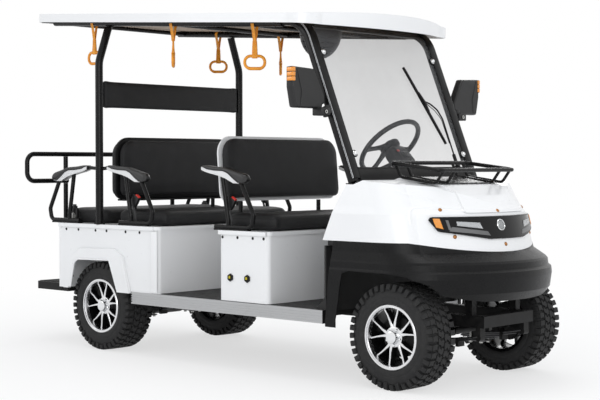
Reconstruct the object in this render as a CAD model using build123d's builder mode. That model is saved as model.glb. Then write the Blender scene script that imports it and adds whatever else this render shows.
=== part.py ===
"""Six-seat golf cart: four seats face forward and two face the rear."""

import os
from math import atan, cos, degrees, radians, sin, sqrt

from build123d import *

os.makedirs("parts", exist_ok=True)

# Millimetres. X runs forward, Y to the left and Z up. The origin is on the floor,
# under the middle of the body's length and width.

# ---- layout ----
wheelbase = 2320
rear_overhang = 830  # rear axle to the footrest's rear edge
front_overhang = 450  # front axle to the bumper's nose
overall_length = rear_overhang + wheelbase + front_overhang
rear_axle_x = rear_overhang - overall_length / 2
front_axle_x = rear_axle_x + wheelbase
body_width = 1220
body_y = body_width / 2
floor_top = 388
seat_base_top = 785
seat_gap = 0.3  # between a soft piece and what it rests on
pin_gap = 0.05  # radial running clearance at spindles and kingpins
touch_gap = 0.3  # between curved faces that meet

# ---- wheels ----
tyre_radius = 275
tyre_width = 205
tyre_shoulder = 22
rim_radius = 168
rim_barrel_radius = 150
rim_wall = 7
rim_disc = 16
rim_dish = 38  # outer lip to the face of the spokes
rim_lip_gap = 4  # tyre's side to the rim's lip
hub_radius = 56
hub_height = 7
cap_radius = 34
cap_height = 34
spindle_radius = 17.5
spindle_end_gap = 3
spoke_pairs = 5
spoke_width = 15
spoke_root = 62  # radius where the spokes leave the hub
spoke_end = 140
spoke_root_angle = 8  # spoke from the middle of its pair
spoke_end_angle = 17.5
pair_root = 76  # radius where a pair's spokes part
opening_corner = 3
shoulder_drop = 40
bead_width = 12
bead_height = 18
tyre_sides = 36
groove_count = 18  # on each shoulder
groove_width = 12
groove_depth = 9
groove_reach = 54
groove_slant = 16
wheel_inset = 125
wheel_y = body_y - wheel_inset  # middle of the tyre
kingpin_y = wheel_y - 93
kingpin_radius = 11
knuckle_radius = 22
knuckle_height = 70

# ---- frame and running gear ----
floor_thickness = 12
frame_rail_width = 50
frame_rail_height = 60
frame_rail_y = 200
frame_tail = 540  # rear axle back to the frame's end
frame_nose = 330  # front axle forward to the frame's end
axle_radius = 30
front_beam_radius = 25
spring_width = 45
spring_thickness = 24
spring_half_length = 290
spring_drop = 52  # axle centre down to the middle of the leaf pack
spring_eye_radius = 17
motor_length = 240

# ---- boxes under the seats ----
box_wall = 6
box_corner = 28
lip_height = 22
lip_reach = 8
rear_box_behind = 392  # rear axle back to the box's rear face
rear_box_ahead = 577
seat_box_start = 1096  # rear axle forward to the box's rear face
seat_box_length = 388
arch_clearance = 28  # tyre to the inside of the wheelhouse, fore and aft
arch_headroom = 52
wheelhouse_y = wheel_y - 123  # inner wall of the wheelhouse
flare_depth = 18
sill_start = 340  # rear axle forward to the sill's rear end
sill_height = 70
sill_depth = 22
sill_grooves = 4

# ---- nose ----
cowl_back = -437  # from the front axle, as the other nose sizes are
toe_board_x = -430
dash_low = 727
shell_wall = 6
nose_split_height = 757  # where the cowl meets the fenders along the sides
nose_split_front = 703
split_gap = 0.15
wheelhouse_roof = 630
nose_post_x = 230
windshield_foot_x = -290
windshield_foot_z = 1062
hood_seat_z = 1052  # flat the pillars stand on

# ---- canopy ----
canopy_rear = -556  # from the rear axle
canopy_front = wheelbase - 390
canopy_width = body_width + 120
canopy_edge_height = 52
canopy_crown = 34
canopy_pitch = 0.0692  # drop for each unit of length
canopy_rear_edge_z = 2069
canopy_corner = 90
canopy_bow = 130
canopy_wall = 12
canopy_ceiling = 30
lining_thickness = 5
roof_tube_radius = 20
cross_tube_radius = 14
canopy_cross_positions = (canopy_rear + 126, 560, canopy_front - 750)

# ---- posts, pillars and glass ----
post_radius = 24
post_x = 30  # from the rear axle
post_bend_z = 1790
pillar_y = body_y - 80
roof_rail_y = pillar_y + 8
pillar_width = 46
pillar_depth = 84
glass_thickness = 5

# ---- seats ----
cushion_thickness = 92
cushion_half_width = body_y - 60
back_half_width = body_y - 105
back_bottom = 940
back_height = 385
back_pad_thickness = 48
back_shell_thickness = 26
back_lean = 5
back_top_corner = 110
back_low_corner = 56
front_back_x = 1000
shared_back_x = 50
seat_post_radius = 13
bracket_low = 700
bracket_height = 50
seat_post_y = 340
head_panel_bottom = 1497
head_panel_height = 183
head_panel_thickness = 50

# ---- steering ----
steering_y = body_y / 2
steering_x = -720  # wheel hub, from the front axle
steering_z = 1262
steering_tilt = 44  # the wheel's plane from vertical
steering_radius = 200
steering_grip = 15
steering_spokes = (8, 90, 172)


def rear_x(distance):
    """X of a place measured forward from the rear axle."""
    return rear_axle_x + distance


def nose_x(distance):
    """X of a place measured forward from the front axle."""
    return front_axle_x + distance


def canopy_z(distance):
    """Height of the canopy's lower edge at a distance ahead of the rear axle."""
    return canopy_rear_edge_z - canopy_pitch * (distance - canopy_rear)


def bent_tube(points, bend, radius):
    """Round tube along straight runs joined by tangent bends."""
    with BuildPart() as tube:
        with BuildLine() as path:
            if len(points) > 2:
                FilletPolyline(*points, radius=bend)
            else:
                Line(*points)
        with BuildSketch(Plane(origin=path.line @ 0, z_dir=path.line % 0)):
            Circle(radius)
        sweep(path=path.line)
    return tube.part


def side_outline(points, corner=0):
    """Face in the X-Z plane, with every corner rounded alike."""
    with BuildSketch(Plane.XZ) as outline:
        with BuildLine():
            Polyline(*points, close=True)
        make_face()
        if corner:
            fillet(outline.vertices(), corner)
    return outline.sketch


def across(outline, low_y, high_y):
    """Solid from an X-Z outline, between two places across the cart."""
    with BuildPart() as solid:
        extrude(outline.moved(Location((0, high_y, 0))), amount=high_y - low_y)
    return solid.part


def block(low, high):
    """Plain block between two opposite corners."""
    with BuildPart() as solid:
        with Locations(tuple((a + b) / 2 for a, b in zip(low, high))):
            Box(*[b - a for a, b in zip(low, high)])
    return solid.part


def finish(builder, name):
    """Labels a sub-part and writes it."""
    builder.part.label = name
    export_step(builder.part, f"parts/{name}.step")


# ---------------------------------------------------------------- frame and floor
frame_top = floor_top - floor_thickness
frame_bottom = frame_top - frame_rail_height
frame_back_x = rear_x(-frame_tail)
frame_front_x = nose_x(frame_nose)
cross_member_positions = (
    frame_back_x + frame_rail_width / 2,
    rear_x(-rear_box_behind + frame_rail_width),
    rear_x(rear_box_ahead - frame_rail_width),
    rear_x(seat_box_start + seat_box_length / 2),
    nose_x(toe_board_x - frame_rail_width),
    frame_front_x - frame_rail_width / 2,
)

with BuildPart() as chassis_frame:
    rail_centre = (frame_back_x + frame_front_x) / 2
    with Locations(
        (rail_centre, frame_rail_y, (frame_top + frame_bottom) / 2),
        (rail_centre, -frame_rail_y, (frame_top + frame_bottom) / 2),
    ):
        Box(frame_front_x - frame_back_x, frame_rail_width, frame_rail_height)
    for member_x in cross_member_positions:
        with Locations((member_x, 0, (frame_top + frame_bottom) / 2)):
            Box(frame_rail_width, 2 * frame_rail_y, frame_rail_height)
    for member_x in cross_member_positions[1:5]:
        with Locations((member_x, 0, frame_top - frame_rail_height / 4)):
            Box(frame_rail_width, 2 * (body_y - sill_depth - 4), frame_rail_height / 2)
    for side in (1, -1):
        add(block((nose_x(nose_post_x) - 20, side * frame_rail_y - 20, frame_top - 1),
                  (nose_x(nose_post_x) + 20, side * frame_rail_y + 20, wheelhouse_roof)))
finish(chassis_frame, "chassis_frame")

toe_x = nose_x(toe_board_x)
sill_inner_y = body_y - sill_depth
floor_back_x = rear_x(rear_box_ahead) + touch_gap
with BuildPart() as floor_panel:
    floor_profile = (
        (floor_back_x, frame_top),
        (toe_x, frame_top),
        (toe_x, dash_low),
        (toe_x - floor_thickness, dash_low),
        (toe_x - floor_thickness, floor_top + 60),
        (toe_x - floor_thickness - 60, floor_top),
        (floor_back_x, floor_top),
    )
    add(across(side_outline(floor_profile), -sill_inner_y + touch_gap, sill_inner_y - touch_gap))
finish(floor_panel, "floor_panel")

sill_end_x = toe_x
with BuildPart() as side_sills:
    sill_low = floor_top - 3 - sill_height
    add(block((rear_x(sill_start), sill_inner_y, sill_low),
              (sill_end_x, body_y + 8, sill_low + sill_height)))
    groove_step = sill_height / (sill_grooves + 1)
    for number in range(1, sill_grooves + 1):
        groove_z = sill_low + number * groove_step
        add(block((rear_x(sill_start) - 1, body_y + 3, groove_z - 4),
                  (sill_end_x + 1, body_y + 9, groove_z + 4)), mode=Mode.SUBTRACT)
    mirror(about=Plane.XZ)
finish(side_sills, "side_sills")

# ---------------------------------------------------------------- seat boxes
arch_opening = (
    (rear_x(-268), floor_top - 20),
    (rear_x(-203), 575),
    (rear_x(132), 575),
    (rear_x(219), floor_top - 20),
)
flare_outline = (
    (rear_x(-310), frame_top),
    (rear_x(-244), 566),
    (rear_x(-150), 626),
    (rear_x(190), 640),
    (rear_x(265), 596),
    (rear_x(329), frame_top),
)


def plan_block(start_x, end_x, half_width, corner, low, high):
    """Upright block with round corners seen from above."""
    with BuildPart() as solid:
        with BuildSketch(Plane.XY.offset(low)):
            with Locations(((start_x + end_x) / 2, 0)):
                RectangleRounded(end_x - start_x, 2 * half_width, corner)
        extrude(amount=high - low)
    return solid.part


def box_shell(start_x, end_x, low):
    """Open-bottomed moulded box with a lip round its top."""
    with BuildPart() as shell:
        add(plan_block(start_x, end_x, body_y, box_corner, low, seat_base_top))
        add(plan_block(start_x - lip_reach, end_x + lip_reach, body_y + lip_reach,
                       box_corner + lip_reach, seat_base_top - lip_height, seat_base_top))
        add(plan_block(start_x + box_wall, end_x - box_wall, body_y - box_wall,
                       box_corner - box_wall, low, seat_base_top - box_wall),
            mode=Mode.SUBTRACT)
    return shell.part


rear_box_back_x = rear_x(-rear_box_behind)
rear_box_front_x = rear_x(rear_box_ahead)
house_reach = tyre_radius + arch_clearance
house_top = 2 * tyre_radius + arch_headroom
with BuildPart() as rear_body:
    add(box_shell(rear_box_back_x, rear_box_front_x, frame_top))
    house = (
        (rear_axle_x - house_reach, frame_top),
        (rear_axle_x - house_reach, house_top),
        (rear_axle_x + house_reach, house_top),
        (rear_axle_x + house_reach, frame_top),
    )
    house_skin = (
        (rear_axle_x - house_reach - box_wall, frame_top),
        (rear_axle_x - house_reach - box_wall, house_top + box_wall),
        (rear_axle_x + house_reach + box_wall, house_top + box_wall),
        (rear_axle_x + house_reach + box_wall, frame_top),
    )
    for inner, outer in ((wheelhouse_y, body_y - box_wall / 2), (-body_y + box_wall / 2, -wheelhouse_y)):
        add(across(side_outline(house_skin), inner, outer))
    flare = side_outline(flare_outline)
    add(across(flare, body_y - box_wall, body_y + flare_depth))
    add(across(flare, -body_y - flare_depth, -body_y + box_wall))
    for inner, outer in ((wheelhouse_y + box_wall, body_y - box_wall),
                         (-body_y + box_wall, -wheelhouse_y - box_wall)):
        add(across(side_outline(house), inner, outer), mode=Mode.SUBTRACT)
    opening = side_outline(arch_opening)
    add(across(opening, wheelhouse_y + 2 * box_wall, body_y + 2 * flare_depth), mode=Mode.SUBTRACT)
    add(across(opening, -body_y - 2 * flare_depth, -wheelhouse_y - 2 * box_wall), mode=Mode.SUBTRACT)
    for side in (1, -1):
        notch_y = sorted((side * (sill_inner_y - touch_gap), side * 2 * body_y))
        add(block((rear_x(sill_start) - touch_gap, notch_y[0], frame_bottom),
                  (rear_box_front_x + 2 * lip_reach, notch_y[1], floor_top - 3 + touch_gap)), mode=Mode.SUBTRACT)
finish(rear_body, "rear_body")

seat_box_back_x = rear_x(seat_box_start)
seat_box_front_x = seat_box_back_x + seat_box_length
with BuildPart() as seat_box:
    add(box_shell(seat_box_back_x, seat_box_front_x, floor_top))
finish(seat_box, "seat_box")

battery_length = 300
battery_half_width = 420
battery_height = 280
with BuildPart() as battery_block:
    battery_middle = (seat_box_back_x + seat_box_front_x) / 2
    add(block((battery_middle - battery_length / 2, -battery_half_width, floor_top),
              (battery_middle + battery_length / 2, battery_half_width, floor_top + battery_height)))
finish(battery_block, "battery_block")

port_radius = 22
port_height = 520
with BuildPart() as charge_ports:
    for port_x in (seat_box_back_x + 95, seat_box_back_x + 230):
        with BuildSketch(Plane.XZ.offset(body_y)):
            with Locations((port_x, port_height)):
                RegularPolygon(port_radius, 6)
        extrude(amount=10)
        with BuildSketch(Plane.XZ.offset(body_y + 10)):
            with Locations((port_x, port_height)):
                Circle(port_radius * 0.6)
        extrude(amount=-4, mode=Mode.SUBTRACT)
finish(charge_ports, "charge_ports")

# ---------------------------------------------------------------- nose
# Columns: height, then distances from the front axle to the nose and to the
# corner, the corner's Y, the distance to the shoulder, and the side's Y.
cowl_sections = (
    (660, 352, 142, 505, -60, 610),
    (900, 286, 90, 490, -90, 606),
    (940, 244, 60, 480, -100, 600),
    (1100, 120, -30, 455, -170, 580),
)
bumper_sections = (
    (300, 392, 192, 502, -40, 612),
    (455, 402, 204, 506, -30, 614),
    (500, 438, 240, 513, -6, 621),
    (575, 450, 250, 515, 0, 622),
    (606, 446, 246, 514, 0, 621),
    (618, 428, 230, 511, -10, 618),
    (648, 424, 226, 511, -12, 617),
    (660, 414, 214, 509, -20, 615),
    (705, 341, 133, 503, -65, 610),
    (800, 315, 112, 496, -78, 608),
)


def nose_solid(sections, back, inset=0):
    """Stack of level outlines: straight sides, round corners and a bowed front."""
    faces = []
    for height, nose, corner, corner_y, shoulder, side_y in sections:
        with BuildSketch(Plane.XY.offset(height)) as level:
            with BuildLine():
                left_side = Line((nose_x(back), side_y - inset), (nose_x(shoulder), side_y - inset))
                left = TangentArc(left_side @ 1, (nose_x(corner) - inset, corner_y - inset), tangent=(1, 0))
                front = ThreePointArc(left @ 1, (nose_x(nose) - inset, 0),
                                      (nose_x(corner) - inset, -corner_y + inset))
                right_side = Line((nose_x(back), -side_y + inset), (nose_x(shoulder), -side_y + inset))
                TangentArc(right_side @ 1, front @ 1, tangent=(1, 0))
                Line(right_side @ 0, left_side @ 0)
            make_face()
        faces.append(level.sketch.face())
    with BuildPart() as solid:
        loft(faces, ruled=True)
    return solid.part


hood_back = (-180, 1075)
hood_front = (90, 1040)


def hood_z(distance):
    """Height of the hood's flat top at a distance ahead of the front axle."""
    share = (distance - hood_back[0]) / (hood_front[0] - hood_back[0])
    return hood_back[1] + share * (hood_front[1] - hood_back[1])


# Columns: distance from the front axle, half width of the raised middle of the hood.
hood_panel = ((-262, 300), (40, 262), (150, 236), (220, 250), (front_overhang, 330))
hood_rise = 9
hood_lip_low = 908
cowl_profile = (
    (nose_x(cowl_back), nose_split_height + split_gap),
    (nose_x(-367), 918),
    (nose_x(-293), hood_seat_z),
    (nose_x(-245), hood_seat_z),
    (nose_x(hood_back[0]), hood_back[1]),
    (nose_x(hood_front[0]), hood_front[1]),
    (nose_x(190), 985),
    (nose_x(300), 905),
    (nose_x(front_overhang), 850),
    (nose_x(front_overhang), nose_split_front - 8),
    (nose_x(345), nose_split_front + split_gap),
    (nose_x(85), nose_split_height + split_gap),
)
lamp_low = 772
lamp_high = 890
lamp_half_width = 425


def raised_hood():
    """Raised middle of the hood, from its lip up to the pillars' flat."""
    with BuildPart() as raised:
        with BuildSketch(Plane.XY.offset(hood_lip_low)):
            with BuildLine():
                Polyline(*[(nose_x(distance), half) for distance, half in hood_panel],
                         *[(nose_x(distance), -half) for distance, half in reversed(hood_panel)], close=True)
            make_face()
        extrude(amount=canopy_rear_edge_z - hood_lip_low)
        add(nose_solid(cowl_sections, cowl_back, -hood_rise), mode=Mode.INTERSECT)
        profile = [(x, z + hood_rise) for x, z in cowl_profile[3:8]]
        profile += [(nose_x(front_overhang), hood_lip_low), (cowl_profile[3][0], hood_lip_low)]
        add(across(side_outline(profile), -2 * body_y, 2 * body_y), mode=Mode.INTERSECT)
    return raised.part


with BuildPart() as cowl:
    add(nose_solid(cowl_sections, cowl_back))
    add(across(side_outline(cowl_profile), -2 * body_y, 2 * body_y), mode=Mode.INTERSECT)
    inner_profile = (
        (nose_x(cowl_back - 40), nose_split_height - 60),
        (nose_x(cowl_back - 40), 918),
        (nose_x(-293), hood_seat_z - shell_wall),
        (nose_x(-245), hood_seat_z - shell_wall),
        (nose_x(hood_back[0]), hood_back[1] - shell_wall),
        (nose_x(hood_front[0] - shell_wall / 2), hood_front[1] - shell_wall),
        (nose_x(190 - shell_wall / 2), 985 - shell_wall),
        (nose_x(300 - shell_wall), 905 - shell_wall),
        (nose_x(front_overhang), 850 - shell_wall),
        (nose_x(front_overhang), nose_split_front - 60),
        (nose_x(0), nose_split_front - 60),
    )
    hollow = nose_solid(cowl_sections, cowl_back - 40, shell_wall)
    hollow = hollow & across(side_outline(inner_profile), -2 * body_y, 2 * body_y)
    add(hollow, mode=Mode.SUBTRACT)
    add(raised_hood() - hollow)
finish(cowl, "cowl")

front_arch = (
    (nose_x(-346), 300),
    (nose_x(-346), 341),
    (nose_x(-292), 590),
    (nose_x(-250), 604),
    (nose_x(32), 600),
    (nose_x(110), 590),
    (nose_x(222), 549),
    (nose_x(268), 492),
    (nose_x(360), 458),
    (nose_x(front_overhang + 20), 452),
    (nose_x(front_overhang + 20), 300),
)
bumper_profile = (
    (nose_x(-416), 326),
    (nose_x(-362), nose_split_height - split_gap),
    (nose_x(85), nose_split_height - split_gap),
    (nose_x(345), nose_split_front - split_gap),
    (nose_x(front_overhang + 20), nose_split_front - split_gap - 12),
    (nose_x(front_overhang + 20), 300),
    (nose_x(-416), 300),
)
bumper_back = -420
with BuildPart() as front_bumper:
    add(nose_solid(bumper_sections, bumper_back))
    hollow = nose_solid(bumper_sections, bumper_back - 60, shell_wall)
    hollow = hollow - block((nose_x(-352), -body_width, wheelhouse_roof),
                            (nose_x(front_overhang), body_width, wheelhouse_roof + shell_wall))
    add(hollow, mode=Mode.SUBTRACT)
    add(across(side_outline(bumper_profile), -2 * body_y, 2 * body_y), mode=Mode.INTERSECT)
    add(across(side_outline(front_arch), -2 * body_y, 2 * body_y), mode=Mode.SUBTRACT)
finish(front_bumper, "front_bumper")


# Lamp band: a bowed mask that stands a little proud of the cowl.
band_depth = 10


def nose_band(half_width, low, high, inset, outset):
    """Upright strip that follows the cowl's bowed face."""
    outer = nose_solid(cowl_sections, cowl_back, -outset)
    inner = nose_solid(cowl_sections, cowl_back - 40, inset)
    window = block((nose_x(0), -half_width, low), (nose_x(front_overhang), half_width, high))
    return (outer - inner) & window


with BuildPart() as lamp_band:
    add(nose_band(lamp_half_width, lamp_low, lamp_high, -seat_gap, band_depth))
finish(lamp_band, "lamp_band")

lens_depth = 4
head_lens_low = 812
head_lens_high = 856
head_lens_inner = 150
head_lens_outer = 300
indicator_inner = 345
indicator_outer = 405
round_lens_radius = 24
with BuildPart() as lamp_lenses:
    lens_skin = nose_band(head_lens_outer, head_lens_low, head_lens_high,
                          -band_depth, band_depth + lens_depth)
    add(lens_skin & block((nose_x(0), head_lens_inner, 0), (nose_x(front_overhang), head_lens_outer, canopy_rear_edge_z)))
    mirror(about=Plane.XZ)
    round_face_x = nose_x(319)
    with Locations(Location((round_face_x + 2, 0, (lamp_low + lamp_high) / 2 - 4), (0, 90, 0))):
        Cylinder(round_lens_radius, 24)
    add(nose_solid(cowl_sections, cowl_back, -band_depth), mode=Mode.SUBTRACT)
finish(lamp_lenses, "lamp_lenses")

mirror_y = body_y + 135
mirror_width = 165
mirror_depth = 75
mirror_low = 1446
mirror_height = 225
mirror_x = nose_x(-480)
with BuildPart() as indicator_lenses:
    amber = nose_band(indicator_outer, head_lens_low - 10, head_lens_high + 14,
                      -band_depth, band_depth + lens_depth)
    add(amber & block((nose_x(0), indicator_inner, 0), (nose_x(front_overhang), indicator_outer, canopy_rear_edge_z)))
    add(block((mirror_x + mirror_depth / 2, mirror_y + mirror_width / 2 - 52, mirror_low + mirror_height - 104),
              (mirror_x + mirror_depth / 2 + 8, mirror_y + mirror_width / 2 - 16, mirror_low + mirror_height - 16)))
    mirror(about=Plane.XZ)
finish(indicator_lenses, "indicator_lenses")

tail_lamp_width = 60
tail_lamp_height = 120
tail_lamp_y = 520
tail_lamp_z = 640
with BuildPart() as tail_lamps:
    add(block((rear_box_back_x - 14, tail_lamp_y - tail_lamp_width / 2, tail_lamp_z - tail_lamp_height / 2),
              (rear_box_back_x, tail_lamp_y + tail_lamp_width / 2, tail_lamp_z + tail_lamp_height / 2)))
    fillet(tail_lamps.faces().sort_by(Axis.X)[0].edges(), 6)
    mirror(about=Plane.XZ)
finish(tail_lamps, "tail_lamps")

# ---------------------------------------------------------------- dashboard and controls
dash_half_width = body_y - 50
dash_profile = (
    (toe_x - floor_thickness, dash_low + touch_gap),
    (toe_x - floor_thickness, 750),
    (nose_x(cowl_back + 14), 800),
    (nose_x(-360), 926),
    (nose_x(-304), hood_seat_z - 8),
    (nose_x(-304), hood_seat_z - 60),
    (nose_x(-340), 880),
    (nose_x(-396), dash_low + touch_gap),
)
tray_width = 330
with BuildPart() as dashboard:
    add(across(side_outline(dash_profile, 4), -dash_half_width, dash_half_width))
    for tray_y in (-dash_half_width / 2, dash_half_width / 2):
        add(block((nose_x(-420), tray_y - tray_width / 2, 860), (nose_x(-358), tray_y + tray_width / 2, 950)),
            mode=Mode.SUBTRACT)
finish(dashboard, "dashboard")

tilt = radians(steering_tilt)
column_axis = Vector(cos(tilt), 0, -sin(tilt))
wheel_centre = Vector(nose_x(steering_x), steering_y, steering_z)
wheel_plane = Plane(origin=wheel_centre, x_dir=(0, 1, 0), z_dir=column_axis * -1)
hub_depth = 46
column_gap = 6
column_length = 500
shaft_radius = 9
shaft_length = 24
pod_half_width = 70
with BuildPart() as driver_controls:
    column_plane = Plane(origin=wheel_centre + column_axis * (hub_depth / 2 + column_gap),
                         x_dir=(0, 1, 0), z_dir=column_axis)
    with BuildSketch(column_plane):
        RectangleRounded(2 * pod_half_width, 96, 22)
    extrude(amount=column_length)
    add(dashboard.part, mode=Mode.SUBTRACT)
    with BuildSketch(column_plane.offset(-shaft_length)):
        Circle(shaft_radius)
    extrude(amount=shaft_length + 10)
    for pedal_y in (steering_y - 70, steering_y + 70):
        add(block((toe_x - floor_thickness - 40, pedal_y - 30, 470), (toe_x - floor_thickness - 28, pedal_y + 30, 580)))
        add(block((toe_x - floor_thickness - 30, pedal_y - 8, 560), (toe_x - floor_thickness, pedal_y + 8, 576)))
finish(driver_controls, "driver_controls")

with BuildPart() as steering_wheel:
    with BuildSketch(Plane(origin=wheel_centre + wheel_plane.x_dir * steering_radius,
                           x_dir=wheel_plane.x_dir, z_dir=wheel_plane.y_dir)):
        Circle(steering_grip)
    revolve(axis=Axis(wheel_centre, column_axis))
    with BuildSketch(wheel_plane.offset(-hub_depth / 2)):
        Circle(62)
    extrude(amount=hub_depth * 0.7)
    with BuildSketch(wheel_plane.offset(-8)):
        for spoke_angle in steering_spokes:
            with Locations(Location((0, 0, 0), (0, 0, spoke_angle))):
                Rectangle(steering_radius, 44, align=(Align.MIN, Align.CENTER))
    extrude(amount=12)
    with BuildSketch(Plane(origin=wheel_centre + column_axis * (hub_depth / 2 + 1), x_dir=(0, 1, 0),
                           z_dir=column_axis * -1)):
        Circle(shaft_radius + pin_gap)
    extrude(amount=shaft_length, mode=Mode.SUBTRACT)
finish(steering_wheel, "steering_wheel")

# ---------------------------------------------------------------- canopy
canopy_rear_x = rear_x(canopy_rear)
canopy_front_x = rear_x(canopy_front)
canopy_length = (canopy_front_x - canopy_rear_x) * sqrt(1 + canopy_pitch ** 2)
canopy_plane = Plane(origin=(canopy_rear_x, 0, canopy_rear_edge_z),
                     x_dir=(cos(atan(canopy_pitch)), 0, -sin(atan(canopy_pitch))), z_dir=(sin(atan(canopy_pitch)), 0, cos(atan(canopy_pitch))))


def canopy_outline(level, inset):
    """Plan of the canopy, square at the back and bowed at the front."""
    half = canopy_width / 2 - inset
    bow_start = canopy_length - canopy_bow - 140
    with BuildSketch(canopy_plane.offset(level)) as outline:
        with BuildLine():
            back = Line((inset, -half), (inset, half))
            left = Line((inset, half), (bow_start, half))
            corner = TangentArc(left @ 1, (canopy_length - canopy_bow - inset, half - 150), tangent=(1, 0))
            front = ThreePointArc(corner @ 1, (canopy_length - inset, 0),
                                  (canopy_length - canopy_bow - inset, -half + 150))
            right = Line((inset, -half), (bow_start, -half))
            TangentArc(right @ 1, front @ 1, tangent=(1, 0))
        make_face()
        fillet(outline.vertices().group_by(Axis.X)[0], canopy_corner - inset)
    return outline.sketch


with BuildPart() as canopy:
    extrude(canopy_outline(0, 0), amount=canopy_edge_height + canopy_crown)
    crown_half = canopy_width / 2
    crown_radius = (crown_half ** 2 + canopy_crown ** 2) / (2 * canopy_crown)
    crown_axis_z = canopy_edge_height + canopy_crown - crown_radius
    with BuildSketch(Plane(origin=canopy_plane.origin - canopy_plane.x_dir * 50, x_dir=(0, 1, 0),
                           z_dir=canopy_plane.x_dir)):
        with Locations((0, crown_axis_z)):
            Circle(crown_radius)
    extrude(amount=canopy_length + 200, mode=Mode.INTERSECT)
    extrude(canopy_outline(0, canopy_wall), amount=canopy_ceiling, mode=Mode.SUBTRACT)
finish(canopy, "canopy")

with BuildPart() as canopy_lining:
    extrude(canopy_outline(canopy_ceiling - lining_thickness, canopy_wall + 0.5), amount=lining_thickness)
finish(canopy_lining, "canopy_lining")

# ---------------------------------------------------------------- roof frame and posts
def roof_tube_z(distance):
    """Height of the roof tubes' centre at a distance ahead of the rear axle."""
    return canopy_z(distance) + canopy_ceiling - lining_thickness - roof_tube_radius - touch_gap


roof_tube_start = canopy_rear + 60
windshield_foot = (nose_x(windshield_foot_x), windshield_foot_z)
windshield_knee = (nose_x(-560), 1722)
pillar_drop = 12  # pillar's centre below the roof tube's
windshield_head = (nose_x(-720), roof_tube_z(nose_x(-720) - rear_axle_x) - pillar_drop)
header_x = nose_x(-790)
header_distance = header_x - rear_axle_x
with BuildPart() as roof_rails:
    add(bent_tube([(rear_x(roof_tube_start), roof_rail_y, roof_tube_z(roof_tube_start)),
                   (header_x - 2, roof_rail_y, roof_tube_z(header_distance - 2))], 0, roof_tube_radius))
    mirror(about=Plane.XZ)
    for distance in canopy_cross_positions:
        cross_end = roof_rail_y - roof_tube_radius - touch_gap
        add(bent_tube([(rear_x(distance), -cross_end, roof_tube_z(distance)),
                       (rear_x(distance), cross_end, roof_tube_z(distance))], 0, cross_tube_radius))
finish(roof_rails, "roof_rails")

with BuildPart() as rear_posts:
    post_top = roof_tube_z(post_x) - roof_tube_radius - touch_gap
    add(bent_tube([(rear_x(post_x), body_y - 2, seat_base_top),
                   (rear_x(post_x), body_y - 2, post_bend_z),
                   (rear_x(post_x), roof_rail_y - 8, post_top)], 150, post_radius))
    mirror(about=Plane.XZ)
    for side in (1, -1):
        add(block((rear_x(post_x) - 45, side * (body_y - 2) - 6, seat_base_top),
                  (rear_x(post_x) + 45, side * (body_y - 2) + 6, seat_base_top + 8)))
    cut_low = roof_tube_z(post_x + post_radius) - roof_tube_radius
    add(block((rear_x(post_x) - 60, -body_width, cut_low - touch_gap), (rear_x(post_x) + 60, body_width, cut_low + 60)),
        mode=Mode.SUBTRACT)
finish(rear_posts, "rear_posts")

with BuildPart() as windshield_frame:
    pillar_path = [(windshield_foot[0], pillar_y, windshield_foot[1]),
                   (windshield_knee[0], pillar_y, windshield_knee[1]),
                   (windshield_head[0], pillar_y, windshield_head[1]),
                   (header_x, pillar_y, roof_tube_z(header_distance) - pillar_drop)]
    with BuildLine() as pillar_line:
        FilletPolyline(*pillar_path, radius=60)
    with BuildSketch(Plane(origin=pillar_line.line @ 0, x_dir=(0, 1, 0), z_dir=pillar_line.line % 0)):
        RectangleRounded(pillar_width, pillar_depth * 0.75, 8)
    sweep(path=pillar_line.line)
    mirror(about=Plane.XZ)
    add(bent_tube([(windshield_foot[0] - 8, -pillar_y, windshield_foot[1] + 28),
                   (windshield_foot[0] - 8, pillar_y, windshield_foot[1] + 28)], 0, 22))
    add(bent_tube([(windshield_head[0] - 5, -pillar_y, windshield_head[1] + 6),
                   (windshield_head[0] - 5, pillar_y, windshield_head[1] + 6)], 0, 22))
    add(block((nose_x(-400), -body_width, windshield_foot_z - 60), (nose_x(-200), body_width, hood_seat_z + touch_gap)),
        mode=Mode.SUBTRACT)
finish(windshield_frame, "windshield_frame")

glass_low = (windshield_foot[0] - 24, windshield_foot[1] + 54)
glass_high = (windshield_knee[0] - 4, windshield_knee[1] + 20)
with BuildPart() as windshield_glass:
    half_glass = pillar_y - pillar_width / 2 - touch_gap
    add(across(side_outline((glass_low, glass_high, (glass_high[0] - 5, glass_high[1]),
                             (glass_low[0] - 5, glass_low[1]))), -half_glass, half_glass))
finish(windshield_glass, "windshield_glass")

dome_radius = 148
dome_drop = 120
dome_round = 90
dome_along = canopy_length - 535
dome_y = -180
with BuildPart() as roof_dome:
    dome_base = canopy_ceiling - lining_thickness - touch_gap
    dome_root = canopy_plane.from_local_coords((dome_along, dome_y, dome_base))
    with BuildSketch(Plane(origin=dome_root, x_dir=canopy_plane.x_dir, z_dir=canopy_plane.z_dir)):
        Circle(dome_radius)
    extrude(amount=-dome_drop)
    fillet(roof_dome.faces().sort_by(Axis.Z)[0].edges(), dome_round)
finish(roof_dome, "roof_dome")

# ---------------------------------------------------------------- seats
cushion_low = seat_base_top + seat_gap
cushion_high = seat_base_top + cushion_thickness
# Columns: rear edge and front edge, from the rear axle.
cushion_places = ((-383, 0), (105, 568), (1062, 1478))
with BuildPart() as seat_cushions:
    for start, end in cushion_places:
        add(plan_block(rear_x(start), rear_x(end), cushion_half_width, 45, cushion_low, cushion_high))
    fillet(seat_cushions.faces().filter_by(Plane.XY).group_by(Axis.Z)[-1].edges(), 18)
finish(seat_cushions, "seat_cushions")


def back_plane(distance, lean):
    """Upright plane of a seat back, leaning back from its lower edge."""
    return Plane(origin=(rear_x(distance), 0, back_bottom), x_dir=(0, 1, 0),
                 z_dir=(cos(radians(lean)), 0, sin(radians(lean))))


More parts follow.
